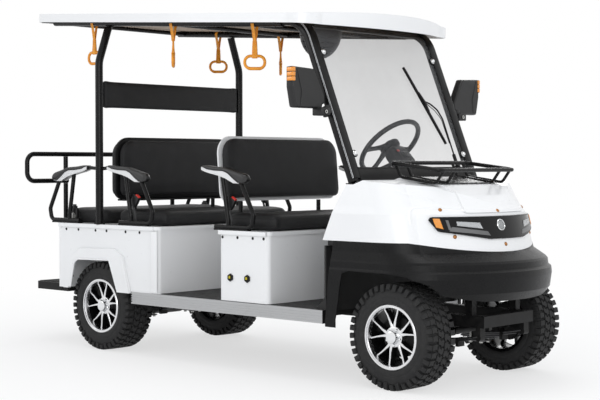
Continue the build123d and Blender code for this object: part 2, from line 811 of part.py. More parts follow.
def back_slab(plane, start, thickness, height, half_width, inset):
    """Upright slab with round corners, measured forward from a seat back's plane."""
    with BuildPart() as slab:
        with BuildSketch(plane.offset(start)) as face:
            with Locations((0, height / 2)):
                Rectangle(2 * half_width, height)
            fillet(face.vertices().group_by(Axis.Z)[-1], back_top_corner - inset)
            fillet(face.vertices().group_by(Axis.Z)[0], back_low_corner - inset)
        extrude(amount=thickness)
    return slab.part


front_plane = back_plane(front_back_x, back_lean)
shared_plane = back_plane(shared_back_x, 0)
half_shell = back_shell_thickness / 2
with BuildPart() as seat_back_shells:
    for plane in (front_plane, shared_plane):
        add(back_slab(plane, -half_shell, back_shell_thickness, back_height, back_half_width, 0))
finish(seat_back_shells, "seat_back_shells")

with BuildPart() as back_pads:
    pad_inset = 8
    pad_height = back_height - 2 * pad_inset
    for plane, start in (
        (front_plane, half_shell + seat_gap),
        (shared_plane, half_shell + seat_gap),
        (shared_plane, -half_shell - seat_gap - back_pad_thickness),
    ):
        lifted = Plane(origin=plane.origin + plane.y_dir * pad_inset, x_dir=plane.x_dir, z_dir=plane.z_dir)
        add(back_slab(lifted, start, back_pad_thickness, pad_height, back_half_width - pad_inset, pad_inset))
finish(back_pads, "back_pads")

with BuildPart() as head_panel:
    head_half = body_y - 2 - post_radius - touch_gap
    add(block((rear_x(post_x) - head_panel_thickness / 2, -head_half, head_panel_bottom),
              (rear_x(post_x) + head_panel_thickness / 2, head_half, head_panel_bottom + head_panel_height)))
    fillet(head_panel.edges().filter_by(Axis.Y), 14)
finish(head_panel, "head_panel")

rail_setback = 100
rail_x = rear_x(-rear_box_behind - rail_setback)
rail_z = 1222
rail_half = body_y + 160
rail_inner = 450
rail_return = 1050
rail_bend = (rail_z - rail_return) * 0.32
rail_tube = 15
rail_foot = 700
with BuildPart() as grab_rail:
    add(bent_tube([(rail_x, -rail_inner, rail_return), (rail_x, -rail_half, rail_return),
                   (rail_x, -rail_half, rail_z), (rail_x, rail_half, rail_z),
                   (rail_x, rail_half, rail_return), (rail_x, rail_inner, rail_return)],
                  rail_bend, rail_tube))
finish(grab_rail, "grab_rail")

with BuildPart() as seat_posts:
    for distance, lean in ((front_back_x, back_lean), (shared_back_x, 0)):
        for side in (1, -1):
            drop = half_shell * sin(radians(lean)) + touch_gap
            top = (rear_x(distance), side * seat_post_y, back_bottom - drop)
            foot = (rear_x(distance), side * seat_post_y, seat_base_top)
            add(bent_tube([foot, top], 0, seat_post_radius))
    for side in (1, -1):
        bracket_x = rear_x(front_back_x)
        bracket_y = side * seat_post_y
        add(block((bracket_x - seat_post_radius, bracket_y - 20, bracket_low),
                  (bracket_x + seat_post_radius, bracket_y + 20, seat_base_top + 1)))
        add(block((bracket_x, bracket_y - 20, bracket_low),
                  (seat_box_back_x - touch_gap, bracket_y + 20, bracket_low + bracket_height)))
    for side in (1, -1):
        rail_y = side * (rail_inner + rail_tube)
        add(bent_tube([(rail_x, rail_y, rail_foot), (rail_x, rail_y, rail_return - rail_tube - touch_gap)],
                      0, rail_tube))
        add(bent_tube([(rail_x, rail_y, rail_return + rail_tube + touch_gap),
                       (rail_x, rail_y, rail_z - rail_tube - touch_gap)], 0, rail_tube))
        add(block((rail_x, rail_y - rail_tube, rail_foot), (rear_box_back_x, rail_y + rail_tube, rail_foot + 40)))
finish(seat_posts, "seat_posts")

armrest_y = body_y - 12
arm_tube = 13
arm_plate = 5
arm_base_z = seat_base_top + arm_plate + arm_tube
arm_pad_width = 54
# Columns: pad's tip from the rear axle, and the way it points.
arm_tips = ((-445, -1), (480, 1), (1325, 1))
# Columns: distance back from the tip, height.
arm_pad_outline = (
    (2, 1074),
    (14, 1096),
    (62, 1112),
    (113, 1124),
    (164, 1137),
    (258, 1143),
    (331, 1152),
    (362, 1146),
    (362, 1124),
    (305, 1107),
    (227, 1093),
    (164, 1076),
    (103, 1048),
    (22, 1050),
)
arm_leg = ((-269, arm_base_z), (20, arm_base_z), (36, arm_base_z + 70), (-70, 1068))
arm_stay = ((-165, arm_base_z), (-165, 840), (-212, 1100))
arm_bend = 36


def arm_pad(tip, way, grow):
    """Padded rest in side view, carried across its width."""
    with BuildSketch(Plane.XZ) as outline:
        with BuildLine():
            Polyline(*[(rear_x(tip - way * back), height) for back, height in arm_pad_outline], close=True)
        make_face()
        if grow:
            offset(amount=grow)
    half = arm_pad_width / 2 + grow
    return across(outline.sketch, armrest_y - half, armrest_y + half)


with BuildPart() as armrest_frames:
    for tip, way in arm_tips:
        for path in (arm_leg, arm_stay):
            add(bent_tube([(rear_x(tip + way * ahead), armrest_y, height) for ahead, height in path],
                          arm_bend if path is arm_leg else 18, arm_tube))
        plate_x = sorted((rear_x(tip - way * 269), rear_x(tip)))
        add(block((plate_x[0], armrest_y - 18, seat_base_top), (plate_x[1], armrest_y + 14, seat_base_top + arm_plate + 4)))
    post_side = post_radius + touch_gap
    for inner, outer in ((rear_x(post_x) - post_side, rear_x(arm_tips[0][0] + 362)),
                         (rear_x(post_x) + post_side, rear_x(arm_tips[1][0] - 362))):
        add(bent_tube([(inner, armrest_y, 1130), (outer, armrest_y, 1136)], 0, arm_tube - 2))
    for tip, way in arm_tips:
        add(arm_pad(tip, way, touch_gap), mode=Mode.SUBTRACT)
    mirror(about=Plane.XZ)
finish(armrest_frames, "armrest_frames")

with BuildPart() as armrest_pads:
    for tip, way in arm_tips:
        add(arm_pad(tip, way, 0))
    chamfer(armrest_pads.faces().filter_by(Plane.XZ).edges(), 5)
    mirror(about=Plane.XZ)
finish(armrest_pads, "armrest_pads")

footrest_half = 450
footrest_low = 326
footrest_high = 376
with BuildPart() as footrest:
    add(block((frame_back_x - (rear_overhang - frame_tail), -footrest_half, footrest_low),
              (frame_back_x, footrest_half, footrest_high)))
    fillet(footrest.edges().filter_by(Axis.Z), 20)
finish(footrest, "footrest")

belt_x = rear_x(-270)
buckle_places = (328, 1158)  # from the rear axle
with BuildPart() as seat_belts:
    for distance in buckle_places:
        place = rear_x(distance)
        stalk = across(side_outline(((place - 8, seat_base_top), (place + 10, seat_base_top), (place + 14, 892),
                                     (place + 42, 962), (place, 984), (place - 28, 912), (place - 6, 892))),
                       cushion_half_width + 6, cushion_half_width + 26)
        add(stalk)
    add(block((belt_x - 34, cushion_half_width + 3, seat_base_top), (belt_x + 34, cushion_half_width + 28, 905)))
    mirror(about=Plane.XZ)
finish(seat_belts, "seat_belts")

# ---------------------------------------------------------------- fittings
basket_rim = 11
basket_half = 340
basket_back = nose_x(-193)
basket_front = nose_x(130)
basket_rim_back_z = 1165
basket_rim_front_z = 1127
basket_wire = 8
basket_hoops = (205, 300)
basket_floor_back = -155  # from the front axle
basket_floor_front = 78
basket_floor_back_z = hood_z(basket_floor_back) + hood_rise + basket_wire + 2 * touch_gap
basket_floor_front_z = hood_z(basket_floor_front) + hood_rise + basket_wire + 2 * touch_gap
with BuildPart() as cargo_basket:
    rim_points = [(basket_back, 0, basket_rim_back_z), (basket_back, basket_half, basket_rim_back_z),
                  (basket_front, basket_half, basket_rim_front_z), (basket_front, 0, basket_rim_front_z)]
    add(bent_tube(rim_points, 34, basket_rim))
    for hoop_y in basket_hoops:
        add(bent_tube([(basket_back, hoop_y, basket_rim_back_z),
                       (nose_x(basket_floor_back), hoop_y, basket_floor_back_z),
                       (nose_x(basket_floor_front), hoop_y, basket_floor_front_z),
                       (basket_front, hoop_y, basket_rim_front_z)], 30, basket_wire))
    tray = side_outline(((basket_back + 60, basket_floor_back_z - 4), (basket_front - 70, basket_floor_front_z - 4),
                         (basket_front - 70, basket_floor_front_z), (basket_back + 60, basket_floor_back_z)))
    add(across(tray, 0, basket_hoops[1]))
    mirror(about=Plane.XZ)
finish(cargo_basket, "cargo_basket")

with BuildPart() as mirrors:
    housing = []
    for depth, shrink, corner in ((-mirror_depth / 2, 0, 22), (mirror_depth * 0.1, 0, 22), (mirror_depth / 2, 22, 16)):
        with BuildSketch(Plane(origin=(mirror_x + depth, mirror_y, mirror_low + mirror_height / 2),
                               x_dir=(0, 1, 0), z_dir=(1, 0, 0))) as level:
            RectangleRounded(mirror_width - shrink, mirror_height - shrink, corner)
        housing.append(level.sketch.face())
    loft(housing, ruled=True)
    arm_z = mirror_low - 24
    share = (arm_z - windshield_foot[1]) / (windshield_knee[1] - windshield_foot[1])
    arm_x = windshield_foot[0] + share * (windshield_knee[0] - windshield_foot[0])
    arm_root = pillar_y + pillar_width / 2 + touch_gap
    add(bent_tube([(mirror_x, mirror_y - 60, mirror_low + 5), (mirror_x, mirror_y - 60, arm_z),
                   (arm_x, arm_root + 40, arm_z), (arm_x, arm_root, arm_z)], 10, 9))
    mirror(about=Plane.XZ)
finish(mirrors, "mirrors")

with BuildPart() as wiper:
    slope = Vector(windshield_knee[0] - windshield_foot[0], 0, windshield_knee[1] - windshield_foot[1]).normalized()
    normal = Vector(slope.Z, 0, -slope.X)
    glass_foot = Vector(glass_low[0], 0, glass_low[1])

    def on_glass(up, y, off):
        """Point at a height along the glass, a way off its outer face."""
        return glass_foot + slope * up + Vector(0, y, 0) + normal * off

    add(bent_tube([on_glass(0, 60, 12), on_glass(190, -10, 20)], 0, 6))
    add(bent_tube([on_glass(60, 35, 12), on_glass(480, -160, 12)], 0, 7))
finish(wiper, "wiper")

# Columns: from the rear axle, the side of the cart, and the turn of the ring.
strap_places = ((-100, -1, 0), (635, -1, -45), (1312, -1, 45), (-100, 1, 45), (488, 1, -45))
strap_width = 26
strap_thickness = 6
strap_length = 170
ring_half_width = 62
ring_drop = 56
ring_bend = 27
ring_tube = 8


def strap_with_ring(top):
    """Webbing and its ring, hanging about the Z axis."""
    ring_z = top - strap_length
    with BuildPart() as strap:
        add(block((-strap_width / 2, -strap_thickness / 2, ring_z), (strap_width / 2, strap_thickness / 2, top)))
        add(bent_tube([(0, 0, ring_z), (ring_half_width, 0, ring_z), (ring_half_width, 0, ring_z - ring_drop),
                       (-ring_half_width, 0, ring_z - ring_drop), (-ring_half_width, 0, ring_z),
                       (-1, 0, ring_z)], ring_bend, ring_tube))
    return strap.part


with BuildPart() as grab_straps:
    for distance, side, turn in strap_places:
        reach = strap_thickness / 2 if turn else strap_width / 2
        top = roof_tube_z(distance + reach) - roof_tube_radius - 2 * touch_gap
        add(strap_with_ring(top).moved(Location((rear_x(distance), side * roof_rail_y, 0), (0, 0, turn))))
finish(grab_straps, "grab_straps")

# ---------------------------------------------------------------- running gear
def leaf_spring(axle_x, y):
    """Leaf pack under an axle, with its eyes and the hangers up to the frame."""
    middle_z = tyre_radius - spring_drop
    eye_z = tyre_radius - 12
    with BuildPart() as spring:
        points = ((axle_x - spring_half_length, eye_z - spring_thickness / 4),
                  (axle_x, middle_z - spring_thickness / 2),
                  (axle_x + spring_half_length, eye_z - spring_thickness / 4),
                  (axle_x + spring_half_length, eye_z + spring_thickness / 4),
                  (axle_x, middle_z + spring_thickness / 2),
                  (axle_x - spring_half_length, eye_z + spring_thickness / 4))
        add(across(side_outline(points), y - spring_width / 2, y + spring_width / 2))
        for end in (-1, 1):
            with BuildSketch(Plane.XZ.offset(-y - spring_width / 2)):
                with Locations((axle_x + end * spring_half_length, eye_z)):
                    Circle(spring_eye_radius)
            extrude(amount=spring_width)
            add(block((axle_x + end * spring_half_length - 14, y - spring_width / 2, eye_z),
                      (axle_x + end * spring_half_length + 14, y + spring_width / 2, frame_bottom)))
        add(block((axle_x - 45, y - spring_width / 2 - 6, middle_z - spring_thickness / 2 - 8),
                  (axle_x + 45, y + spring_width / 2 + 6, tyre_radius)))
    return spring.part


def cross_tube(x, z, low_y, high_y, radius):
    """Round bar across the cart."""
    return bent_tube([(x, low_y, z), (x, high_y, z)], 0, radius)


disc_y = tyre_width / 2 - rim_lip_gap - rim_dish
spindle_end_y = wheel_y + disc_y - spindle_end_gap
with BuildPart() as rear_suspension:
    add(cross_tube(rear_axle_x, tyre_radius, -wheelhouse_y - 40, wheelhouse_y + 40, axle_radius))
    add(cross_tube(rear_axle_x, tyre_radius, wheelhouse_y + 20, spindle_end_y, spindle_radius))
    add(cross_tube(rear_axle_x, tyre_radius, -spindle_end_y, -wheelhouse_y - 20, spindle_radius))
    for side in (1, -1):
        add(leaf_spring(rear_axle_x, side * frame_rail_y))
    add(cross_tube(rear_axle_x, tyre_radius, -70, 70, 85))
    add(block((rear_axle_x - 60, -motor_length / 2, tyre_radius - 60),
              (rear_axle_x + 60, motor_length / 2, tyre_radius + 35)))
finish(rear_suspension, "rear_suspension")

yoke_gap = 0.5
yoke_thickness = 14
tie_rod_radius = 8
tie_rod_ahead = 58  # of the axle
tie_rod_gap = 5  # above the knuckles' arms
rack_radius = 19
rack_half = 120
arm_width = 14
arm_thickness = 12
with BuildPart() as front_suspension:
    add(cross_tube(front_axle_x, tyre_radius, -kingpin_y + knuckle_radius + 6, kingpin_y - knuckle_radius - 6,
                   front_beam_radius))
    for side in (1, -1):
        add(leaf_spring(front_axle_x, side * frame_rail_y))
        inner_y = side * (kingpin_y - knuckle_radius - 6)
        add(block((front_axle_x - 20, min(inner_y, inner_y - side * 16), tyre_radius - knuckle_height / 2 - yoke_gap - yoke_thickness),
                  (front_axle_x + 20, max(inner_y, inner_y - side * 16), tyre_radius + knuckle_height / 2 + yoke_gap + yoke_thickness)))
        for end in (1, -1):
            plate_z = tyre_radius + end * (knuckle_height / 2 + yoke_gap + yoke_thickness / 2)
            add(block((front_axle_x - 20, min(inner_y - side * 16, side * (kingpin_y + 20)), plate_z - yoke_thickness / 2),
                      (front_axle_x + 20, max(inner_y - side * 16, side * (kingpin_y + 20)), plate_z + yoke_thickness / 2)))
        with BuildSketch(Plane.XY.offset(tyre_radius - knuckle_height / 2 - yoke_gap - 1)):
            with Locations((front_axle_x, side * kingpin_y)):
                Circle(kingpin_radius)
        extrude(amount=knuckle_height + 2 * yoke_gap + 2)
    add(cross_tube(front_axle_x + tie_rod_ahead, tyre_radius, -kingpin_y, kingpin_y, tie_rod_radius))
    add(cross_tube(front_axle_x + tie_rod_ahead, tyre_radius, -rack_half, rack_half, rack_radius))
    for side in (1, -1):
        add(block((front_axle_x, side * rack_half - 10, tyre_radius - rack_radius),
                  (front_axle_x + tie_rod_ahead, side * rack_half + 10, tyre_radius + rack_radius)))
        with BuildSketch(Plane.XY.offset(tyre_radius - tie_rod_radius - 1)):
            with Locations((front_axle_x + tie_rod_ahead, side * kingpin_y)):
                Circle(tie_rod_radius + 3)
        extrude(amount=2 * tie_rod_radius + 2)
finish(front_suspension, "front_suspension")

for side, name in ((1, "left"), (-1, "right")):
    with BuildPart() as knuckle:
        with BuildSketch(Plane.XY.offset(tyre_radius - knuckle_height / 2)):
            with Locations((front_axle_x, side * kingpin_y)):
                Circle(knuckle_radius)
        extrude(amount=knuckle_height)
        add(cross_tube(front_axle_x, tyre_radius, side * kingpin_y, side * spindle_end_y, spindle_radius))
        arm_top = tyre_radius - tie_rod_radius - 1 - tie_rod_gap
        add(block((front_axle_x, side * kingpin_y - arm_width / 2, arm_top - arm_thickness),
                  (front_axle_x + tie_rod_ahead, side * kingpin_y + arm_width / 2, arm_top)))
        with BuildSketch(Plane.XY.offset(arm_top - arm_thickness)):
            with Locations((front_axle_x + tie_rod_ahead, side * kingpin_y)):
                Circle(tie_rod_radius + 3)
        extrude(amount=arm_thickness)
        with BuildSketch(Plane.XY.offset(tyre_radius - knuckle_height / 2 - 1)):
            with Locations((front_axle_x, side * kingpin_y)):
                Circle(kingpin_radius + pin_gap)
        extrude(amount=knuckle_height + 2, mode=Mode.SUBTRACT)
    finish(knuckle, f"knuckle_{name}")


def wheel_profile(points, x, side):
    """Ring revolved about a wheel's axle; points give the Y from the wheel's middle and the radius."""
    with BuildPart() as ring:
        with BuildSketch(Plane(origin=(x, side * wheel_y, tyre_radius), x_dir=(0, side, 0), z_dir=(-side, 0, 0))):
            with BuildLine():
                Polyline(*points, close=True)
            make_face()
        revolve(axis=Axis((x, 0, tyre_radius), (0, 1, 0)))
    return ring.part


def axle_plane(x, y):
    """Plane square to the axle at a place across the cart."""
    return Plane(origin=(x, y, tyre_radius), x_dir=(1, 0, 0), z_dir=(0, 1, 0))


def facet_stack(sections, x, middle_y):
    """Many-sided drum about the axle; sections give the Y from the wheel's middle and the radius to its flats."""
    faces = []
    for offset_y, flat_radius in sections:
        with BuildSketch(axle_plane(x, middle_y + offset_y)) as level:
            RegularPolygon(flat_radius, tyre_sides, major_radius=False, rotation=180 / tyre_sides)
        faces.append(level.sketch.face())
    with BuildPart() as drum:
        loft(faces, ruled=True)
    return drum.part


def spoke_angle(radius):
    """Angle of a spoke's middle from the middle of its pair, at a radius."""
    share = (radius - spoke_root) / (spoke_end - spoke_root)
    return spoke_root_angle + share * (spoke_end_angle - spoke_root_angle)


def spoke_half(radius):
    """Half of a spoke's width as an angle at a radius."""
    return degrees(spoke_width / 2 / radius)


def polar_point(radius, angle):
    """Point of a wheel's plane, with the angle from the vertical."""
    return (radius * sin(radians(angle)), radius * cos(radians(angle)))


half = tyre_width / 2
tyre_sections = (
    (-half, tyre_radius - shoulder_drop),
    (-half + tyre_shoulder, tyre_radius),
    (half - tyre_shoulder, tyre_radius),
    (half, tyre_radius - shoulder_drop),
)
bead_slope = (bead_height - touch_gap) / bead_width
bore_sections = (
    (-half - 1, rim_radius + bead_height + bead_slope),
    (-half + bead_width, rim_radius + touch_gap),
    (half - bead_width, rim_radius + touch_gap),
    (half + 1, rim_radius + bead_height + bead_slope),
)
rim_points = (
    (-half + rim_lip_gap, rim_radius),
    (half - rim_lip_gap, rim_radius),
    (half - rim_lip_gap, rim_radius - rim_wall),
    (half - 18, rim_radius - rim_wall - 4),
    (half - 18, rim_barrel_radius - rim_wall),
    (-half + rim_lip_gap, rim_barrel_radius - rim_wall),
)
disc_points = (
    (disc_y - rim_disc, spindle_radius + pin_gap),
    (disc_y - rim_disc, rim_barrel_radius - 2),
    (disc_y, rim_barrel_radius - 2),
    (disc_y, hub_radius),
    (disc_y + hub_height, hub_radius - 4),
    (disc_y + hub_height, cap_radius),
    (disc_y + cap_height, cap_radius - 2),
    (disc_y + cap_height, 0),
    (disc_y, 0),
    (disc_y, spindle_radius + pin_gap),
)
pair_step = 360 / spoke_pairs
# Openings of the wheel's face, as the middle's angle and the corners' radii and half angles.
pair_opening = (0, [(radius, spoke_angle(radius) - spoke_half(radius)) for radius in (pair_root, spoke_end)])
wide_opening = (pair_step / 2, [(radius, pair_step / 2 - spoke_angle(radius) - spoke_half(radius))
                                for radius in (spoke_root, spoke_end)])
for axle_x, place in ((front_axle_x, "front"), (rear_axle_x, "rear")):
    for side, name in ((1, "left"), (-1, "right")):
        with BuildPart() as tyre:
            add(facet_stack(tyre_sections, axle_x, side * wheel_y))
            add(facet_stack(bore_sections, axle_x, side * wheel_y), mode=Mode.SUBTRACT)
            for end, start in ((-1, 0), (1, 360 / tyre_sides)):
                with Locations(axle_plane(axle_x, side * wheel_y + end * (half - groove_reach / 2))):
                    with PolarLocations(tyre_radius, groove_count, start_angle=start):
                        Box(2 * groove_depth, groove_width, groove_reach, rotation=(end * groove_slant, 0, 0),
                            mode=Mode.SUBTRACT)
        finish(tyre, f"tyre_{place}_{name}")
        with BuildPart() as wheel:
            add(wheel_profile(rim_points, axle_x, side))
            add(wheel_profile(disc_points, axle_x, side))
            with BuildSketch(axle_plane(axle_x, side * (wheel_y + disc_y - rim_disc / 2))) as face:
                for pair in range(spoke_pairs):
                    for middle, corners in (pair_opening, wide_opening):
                        turn = middle + pair * pair_step
                        left = [polar_point(radius, turn - reach) for radius, reach in corners]
                        right = [polar_point(radius, turn + reach) for radius, reach in reversed(corners)]
                        Polygon(*left, *right, align=None)
                fillet(face.vertices(), opening_corner)
            extrude(amount=rim_disc, both=True, mode=Mode.SUBTRACT)
        finish(wheel, f"wheel_{place}_{name}")
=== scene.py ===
"""Looks of a six-seat golf cart: finishes, cushions, tyres, wheels, lamps, trim and studio."""

import math

import bmesh
import bpy
from mathutils import Matrix, Vector
from mathutils.bvhtree import BVHTree


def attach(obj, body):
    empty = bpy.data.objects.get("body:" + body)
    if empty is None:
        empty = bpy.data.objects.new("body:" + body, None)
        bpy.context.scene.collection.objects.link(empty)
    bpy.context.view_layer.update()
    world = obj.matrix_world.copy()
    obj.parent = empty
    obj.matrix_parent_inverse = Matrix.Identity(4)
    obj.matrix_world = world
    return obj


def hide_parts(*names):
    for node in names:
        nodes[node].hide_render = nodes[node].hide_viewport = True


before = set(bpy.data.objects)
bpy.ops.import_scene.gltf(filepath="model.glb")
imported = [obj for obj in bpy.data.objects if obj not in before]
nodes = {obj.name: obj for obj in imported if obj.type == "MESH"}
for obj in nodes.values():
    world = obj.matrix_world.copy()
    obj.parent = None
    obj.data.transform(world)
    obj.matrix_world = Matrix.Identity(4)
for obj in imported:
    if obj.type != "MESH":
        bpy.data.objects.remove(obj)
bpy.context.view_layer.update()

REAR_AXLE_X = -0.970
FRONT_AXLE_X = 1.350
WHEEL_Y = 0.485
AXLE_Z = 0.275
SEAT_BASE_TOP = 0.785
ROOF_SLOPE = 0.0692


# ---------------------------------------------------------------- finishes
class Value:
    """A shader socket that can be used in sums."""

    def __init__(self, finish, socket):
        self.finish = finish
        self.socket = socket

    def _sum(self, operation, first, second):
        return self.finish.node("ShaderNodeMath", {"operation": operation}, {0: first, 1: second})

    def __add__(self, other):
        return self._sum("ADD", self, other)

    __radd__ = __add__

    def __sub__(self, other):
        return self._sum("SUBTRACT", self, other)

    def __rsub__(self, other):
        return self._sum("SUBTRACT", other, self)

    def __mul__(self, other):
        return self._sum("MULTIPLY", self, other)

    __rmul__ = __mul__


class Finish:
    """A material with one Principled shader."""

    def __init__(self, name, colour, roughness, **constants):
        self.material = bpy.data.materials.new(name)
        self.material.use_nodes = True
        self.tree = self.material.node_tree
        self.shader = self.tree.nodes["Principled BSDF"]
        self.shader.inputs["Base Color"].default_value = (*colour, 1)
        self.shader.inputs["Roughness"].default_value = roughness
        for key, value in constants.items():
            self.shader.inputs[key.replace("_", " ").title().replace("Ior", "IOR")].default_value = value
        self.place = self.node("ShaderNodeTexCoord", output="Object")

    def node(self, kind, settings=None, inputs=None, output=0):
        """Adds a node: its settings first, then the values or links of its sockets."""
        node = self.tree.nodes.new(kind)
        for key, value in (settings or {}).items():
            if key == "stops":
                while len(node.color_ramp.elements) < len(value):
                    node.color_ramp.elements.new(0.5)
                for element, (position, shade) in zip(node.color_ramp.elements, value):
                    element.position = position
                    element.color = (shade, shade, shade, 1)
            else:
                setattr(node, key, value)
        for key, value in (inputs or {}).items():
            self.feed(node.inputs[key], value)
        return Value(self, node.outputs[output])

    def feed(self, socket, value):
        """Links a value to a socket, or sets a plain number there."""
        if isinstance(value, Value):
            self.tree.links.new(value.socket, socket)
        else:
            socket.default_value = value

    def stretched(self, scale):
        """Object coordinates multiplied along each axis."""
        return self.node("ShaderNodeMapping", {}, {"Vector": self.place, "Scale": scale})

    def noise(self, scale, detail=3.0, roughness=0.5, place=None):
        return self.node("ShaderNodeTexNoise", {}, {
            "Vector": place or self.place, "Scale": scale, "Detail": detail, "Roughness": roughness})

    def cells(self, scale, feature="F1", place=None):
        return self.node("ShaderNodeTexVoronoi", {"feature": feature}, {"Vector": place or self.place, "Scale": scale})

    def waves(self, scale, direction, distortion=0.0):
        return self.node("ShaderNodeTexWave", {"wave_type": "BANDS", "bands_direction": direction},
                         {"Vector": self.place, "Scale": scale, "Distortion": distortion}, "Fac")

    def axis(self, name):
        return self.node("ShaderNodeSeparateXYZ", {}, {"Vector": self.place}, name)

    def ramp(self, value, *stops):
        return self.node("ShaderNodeValToRGB", {"stops": stops}, {"Fac": value})

    def blend(self, share, first, second):
        """Colour between two colours."""
        first = first if isinstance(first, Value) else (*first, 1)
        second = second if isinstance(second, Value) else (*second, 1)
        return self.node("ShaderNodeMix", {"data_type": "RGBA"}, {0: share, 6: first, 7: second}, 2)

    def colour(self, value):
        self.feed(self.shader.inputs["Base Color"], value)

    def rough(self, value):
        self.feed(self.shader.inputs["Roughness"], value)

    def see_through(self, value):
        self.feed(self.shader.inputs["Alpha"], value)

    def relief(self, height, distance, strength=1.0):
        """Bump from a height, with its depth in metres."""
        bump = self.node("ShaderNodeBump", {}, {"Height": height, "Distance": distance, "Strength": strength})
        self.feed(self.shader.inputs["Normal"], bump)


def moulded_white():
    """Vacuum-formed white panels with a soft gloss and a little road dust low down."""
    finish = Finish("moulded_white", (0.84, 0.845, 0.85), 0.3, coat_weight=0.35, coat_roughness=0.12)
    drift = finish.ramp(finish.noise(1.6, 2.0), (0.35, 0.0), (0.7, 1.0))
    dust = finish.ramp(finish.axis("Z"), (0.3, 1.0), (0.62, 0.0)) * finish.noise(9.0, 5.0)
    white = finish.blend(drift * 0.5, (0.85, 0.855, 0.86), (0.815, 0.82, 0.828))
    finish.colour(finish.blend(dust * 0.22, white, (0.62, 0.6, 0.57)))
    finish.rough(finish.noise(38.0, 4.0) * 0.12 + 0.24)
    finish.relief(finish.noise(140.0, 2.0) + finish.noise(5.0, 1.0) * 3.0, 0.00035, 0.35)
    return finish.material


def textured_black():
    """Black mouldings with a pebbled grain that catches the light."""
    finish = Finish("textured_black", (0.007, 0.007, 0.0073), 0.34, specular_ior_level=0.16)
    pebbles = finish.cells(330.0, "SMOOTH_F1")
    wear = finish.ramp(finish.noise(14.0, 6.0, 0.65), (0.45, 0.0), (0.75, 1.0))
    finish.colour(finish.blend(wear * 0.35, (0.006, 0.006, 0.0063), (0.011, 0.011, 0.0113)))
    finish.rough(0.36 - pebbles * 0.16 + wear * 0.08)
    finish.relief(pebbles + finish.noise(700.0, 2.0) * 0.3, 0.0006, 0.8)
    return finish.material


def painted_black(name="painted_black", gloss=0.24):
    """Powder-coated tube and plate."""
    finish = Finish(name, (0.005, 0.005, 0.0053), gloss, specular_ior_level=0.22)
    grime = finish.ramp(finish.noise(24.0, 5.0, 0.6), (0.42, 0.0), (0.72, 1.0))
    finish.colour(finish.blend(grime * 0.4, (0.0045, 0.0045, 0.0048), (0.009, 0.0088, 0.0086)))
    finish.rough(grime * 0.12 + gloss)
    finish.relief(finish.noise(420.0, 3.0), 0.00022, 0.5)
    return finish.material


def underside_steel():
    """Chassis black with a film of dust."""
    finish = Finish("underside_steel", (0.008, 0.008, 0.008), 0.5, specular_ior_level=0.2)
    dust = finish.ramp(finish.noise(18.0, 6.0, 0.65), (0.4, 0.0), (0.75, 1.0))
    finish.colour(finish.blend(dust * 0.5, (0.006, 0.006, 0.0063), (0.024, 0.0225, 0.021)))
    finish.rough(dust * 0.25 + 0.4)
    finish.relief(finish.noise(160.0, 4.0), 0.0004, 0.6)
    return finish.material


def grained_vinyl():
    """Charcoal seat vinyl: a leather grain, soft sheen and slack creases."""
    finish = Finish("grained_vinyl", (0.01, 0.01, 0.0106), 0.44, specular_ior_level=0.24)
    grain = finish.cells(420.0, "DISTANCE_TO_EDGE", place=finish.stretched((1.0, 0.8, 1.0)))
    grain = finish.ramp(grain, (0.0, 0.0), (0.22, 1.0))
    crease = finish.ramp(finish.noise(7.0, 5.0, 0.55), (0.4, 0.0), (0.62, 1.0))
    finish.colour(finish.blend(crease, (0.0125, 0.0125, 0.013), (0.0185, 0.0185, 0.0195)))
    finish.rough(0.52 - grain * 0.1 + crease * 0.06)
    finish.relief(grain + crease * 0.8 + finish.noise(900.0, 2.0) * 0.25, 0.0005, 0.55)
    return finish.material


def tyre_rubber():
    """Moulded rubber with fine rings on the sidewall and dust in the tread."""
    finish = Finish("tyre_rubber", (0.008, 0.008, 0.0083), 0.58, specular_ior_level=0.2)
    dust = finish.ramp(finish.noise(30.0, 6.0, 0.7), (0.42, 0.0), (0.78, 1.0))
    finish.colour(finish.blend(dust * 0.5, (0.020, 0.020, 0.0204), (0.050, 0.0485, 0.0465)))
    finish.rough(dust * 0.15 + 0.6)
    finish.relief(finish.noise(240.0, 5.0, 0.6), 0.0006, 0.7)
    return finish.material


def machined_alloy():
    """Diamond-turned aluminium faces."""
    finish = Finish("machined_alloy", (0.8, 0.8, 0.81), 0.24, metallic=1.0, coat_weight=0.3, coat_roughness=0.08)
    cuts = finish.noise(60.0, 3.0, 0.5, finish.stretched((1.0, 9.0, 1.0)))
    finish.colour(finish.blend(cuts * 0.5, (0.84, 0.84, 0.85), (0.66, 0.665, 0.68)))
    finish.rough(cuts * 0.16 + 0.18)
    finish.relief(cuts, 0.0001, 0.4)
    return finish.material


def brushed_aluminium():
    """Extruded sill with a lengthwise brushed grain."""
    finish = Finish("brushed_aluminium", (0.68, 0.685, 0.69), 0.34, metallic=1.0)
    brush = finish.noise(55.0, 5.0, 0.6, finish.stretched((0.05, 4.0, 14.0)))
    scuffs = finish.ramp(finish.noise(21.0, 7.0, 0.7), (0.56, 0.0), (0.66, 1.0))
    finish.colour(finish.blend(brush, (0.54, 0.545, 0.55), (0.41, 0.415, 0.425)))
    finish.rough(brush * 0.2 + scuffs * 0.15 + 0.24)
    finish.relief(brush + scuffs * 0.4, 0.0002, 0.6)
    return finish.material


def glass_with_painted_reflection():
    """Clear acrylic windshield; its faint grey, deepening upwards, is a painted reflection."""
    finish = Finish("glass_with_painted_reflection", (0.16, 0.163, 0.168), 0.05, specular_ior_level=0.25)
    # Painted reflection: the grey share of the glass grows with height.
    height = finish.ramp((finish.axis("Z") - 1.1) * 1.3, (0.0, 0.11), (1.0, 0.26))
    smears = finish.noise(6.0, 4.0, 0.6)
    finish.see_through(height + smears * 0.05)
    finish.rough(smears * 0.05 + 0.03)
    return finish.material


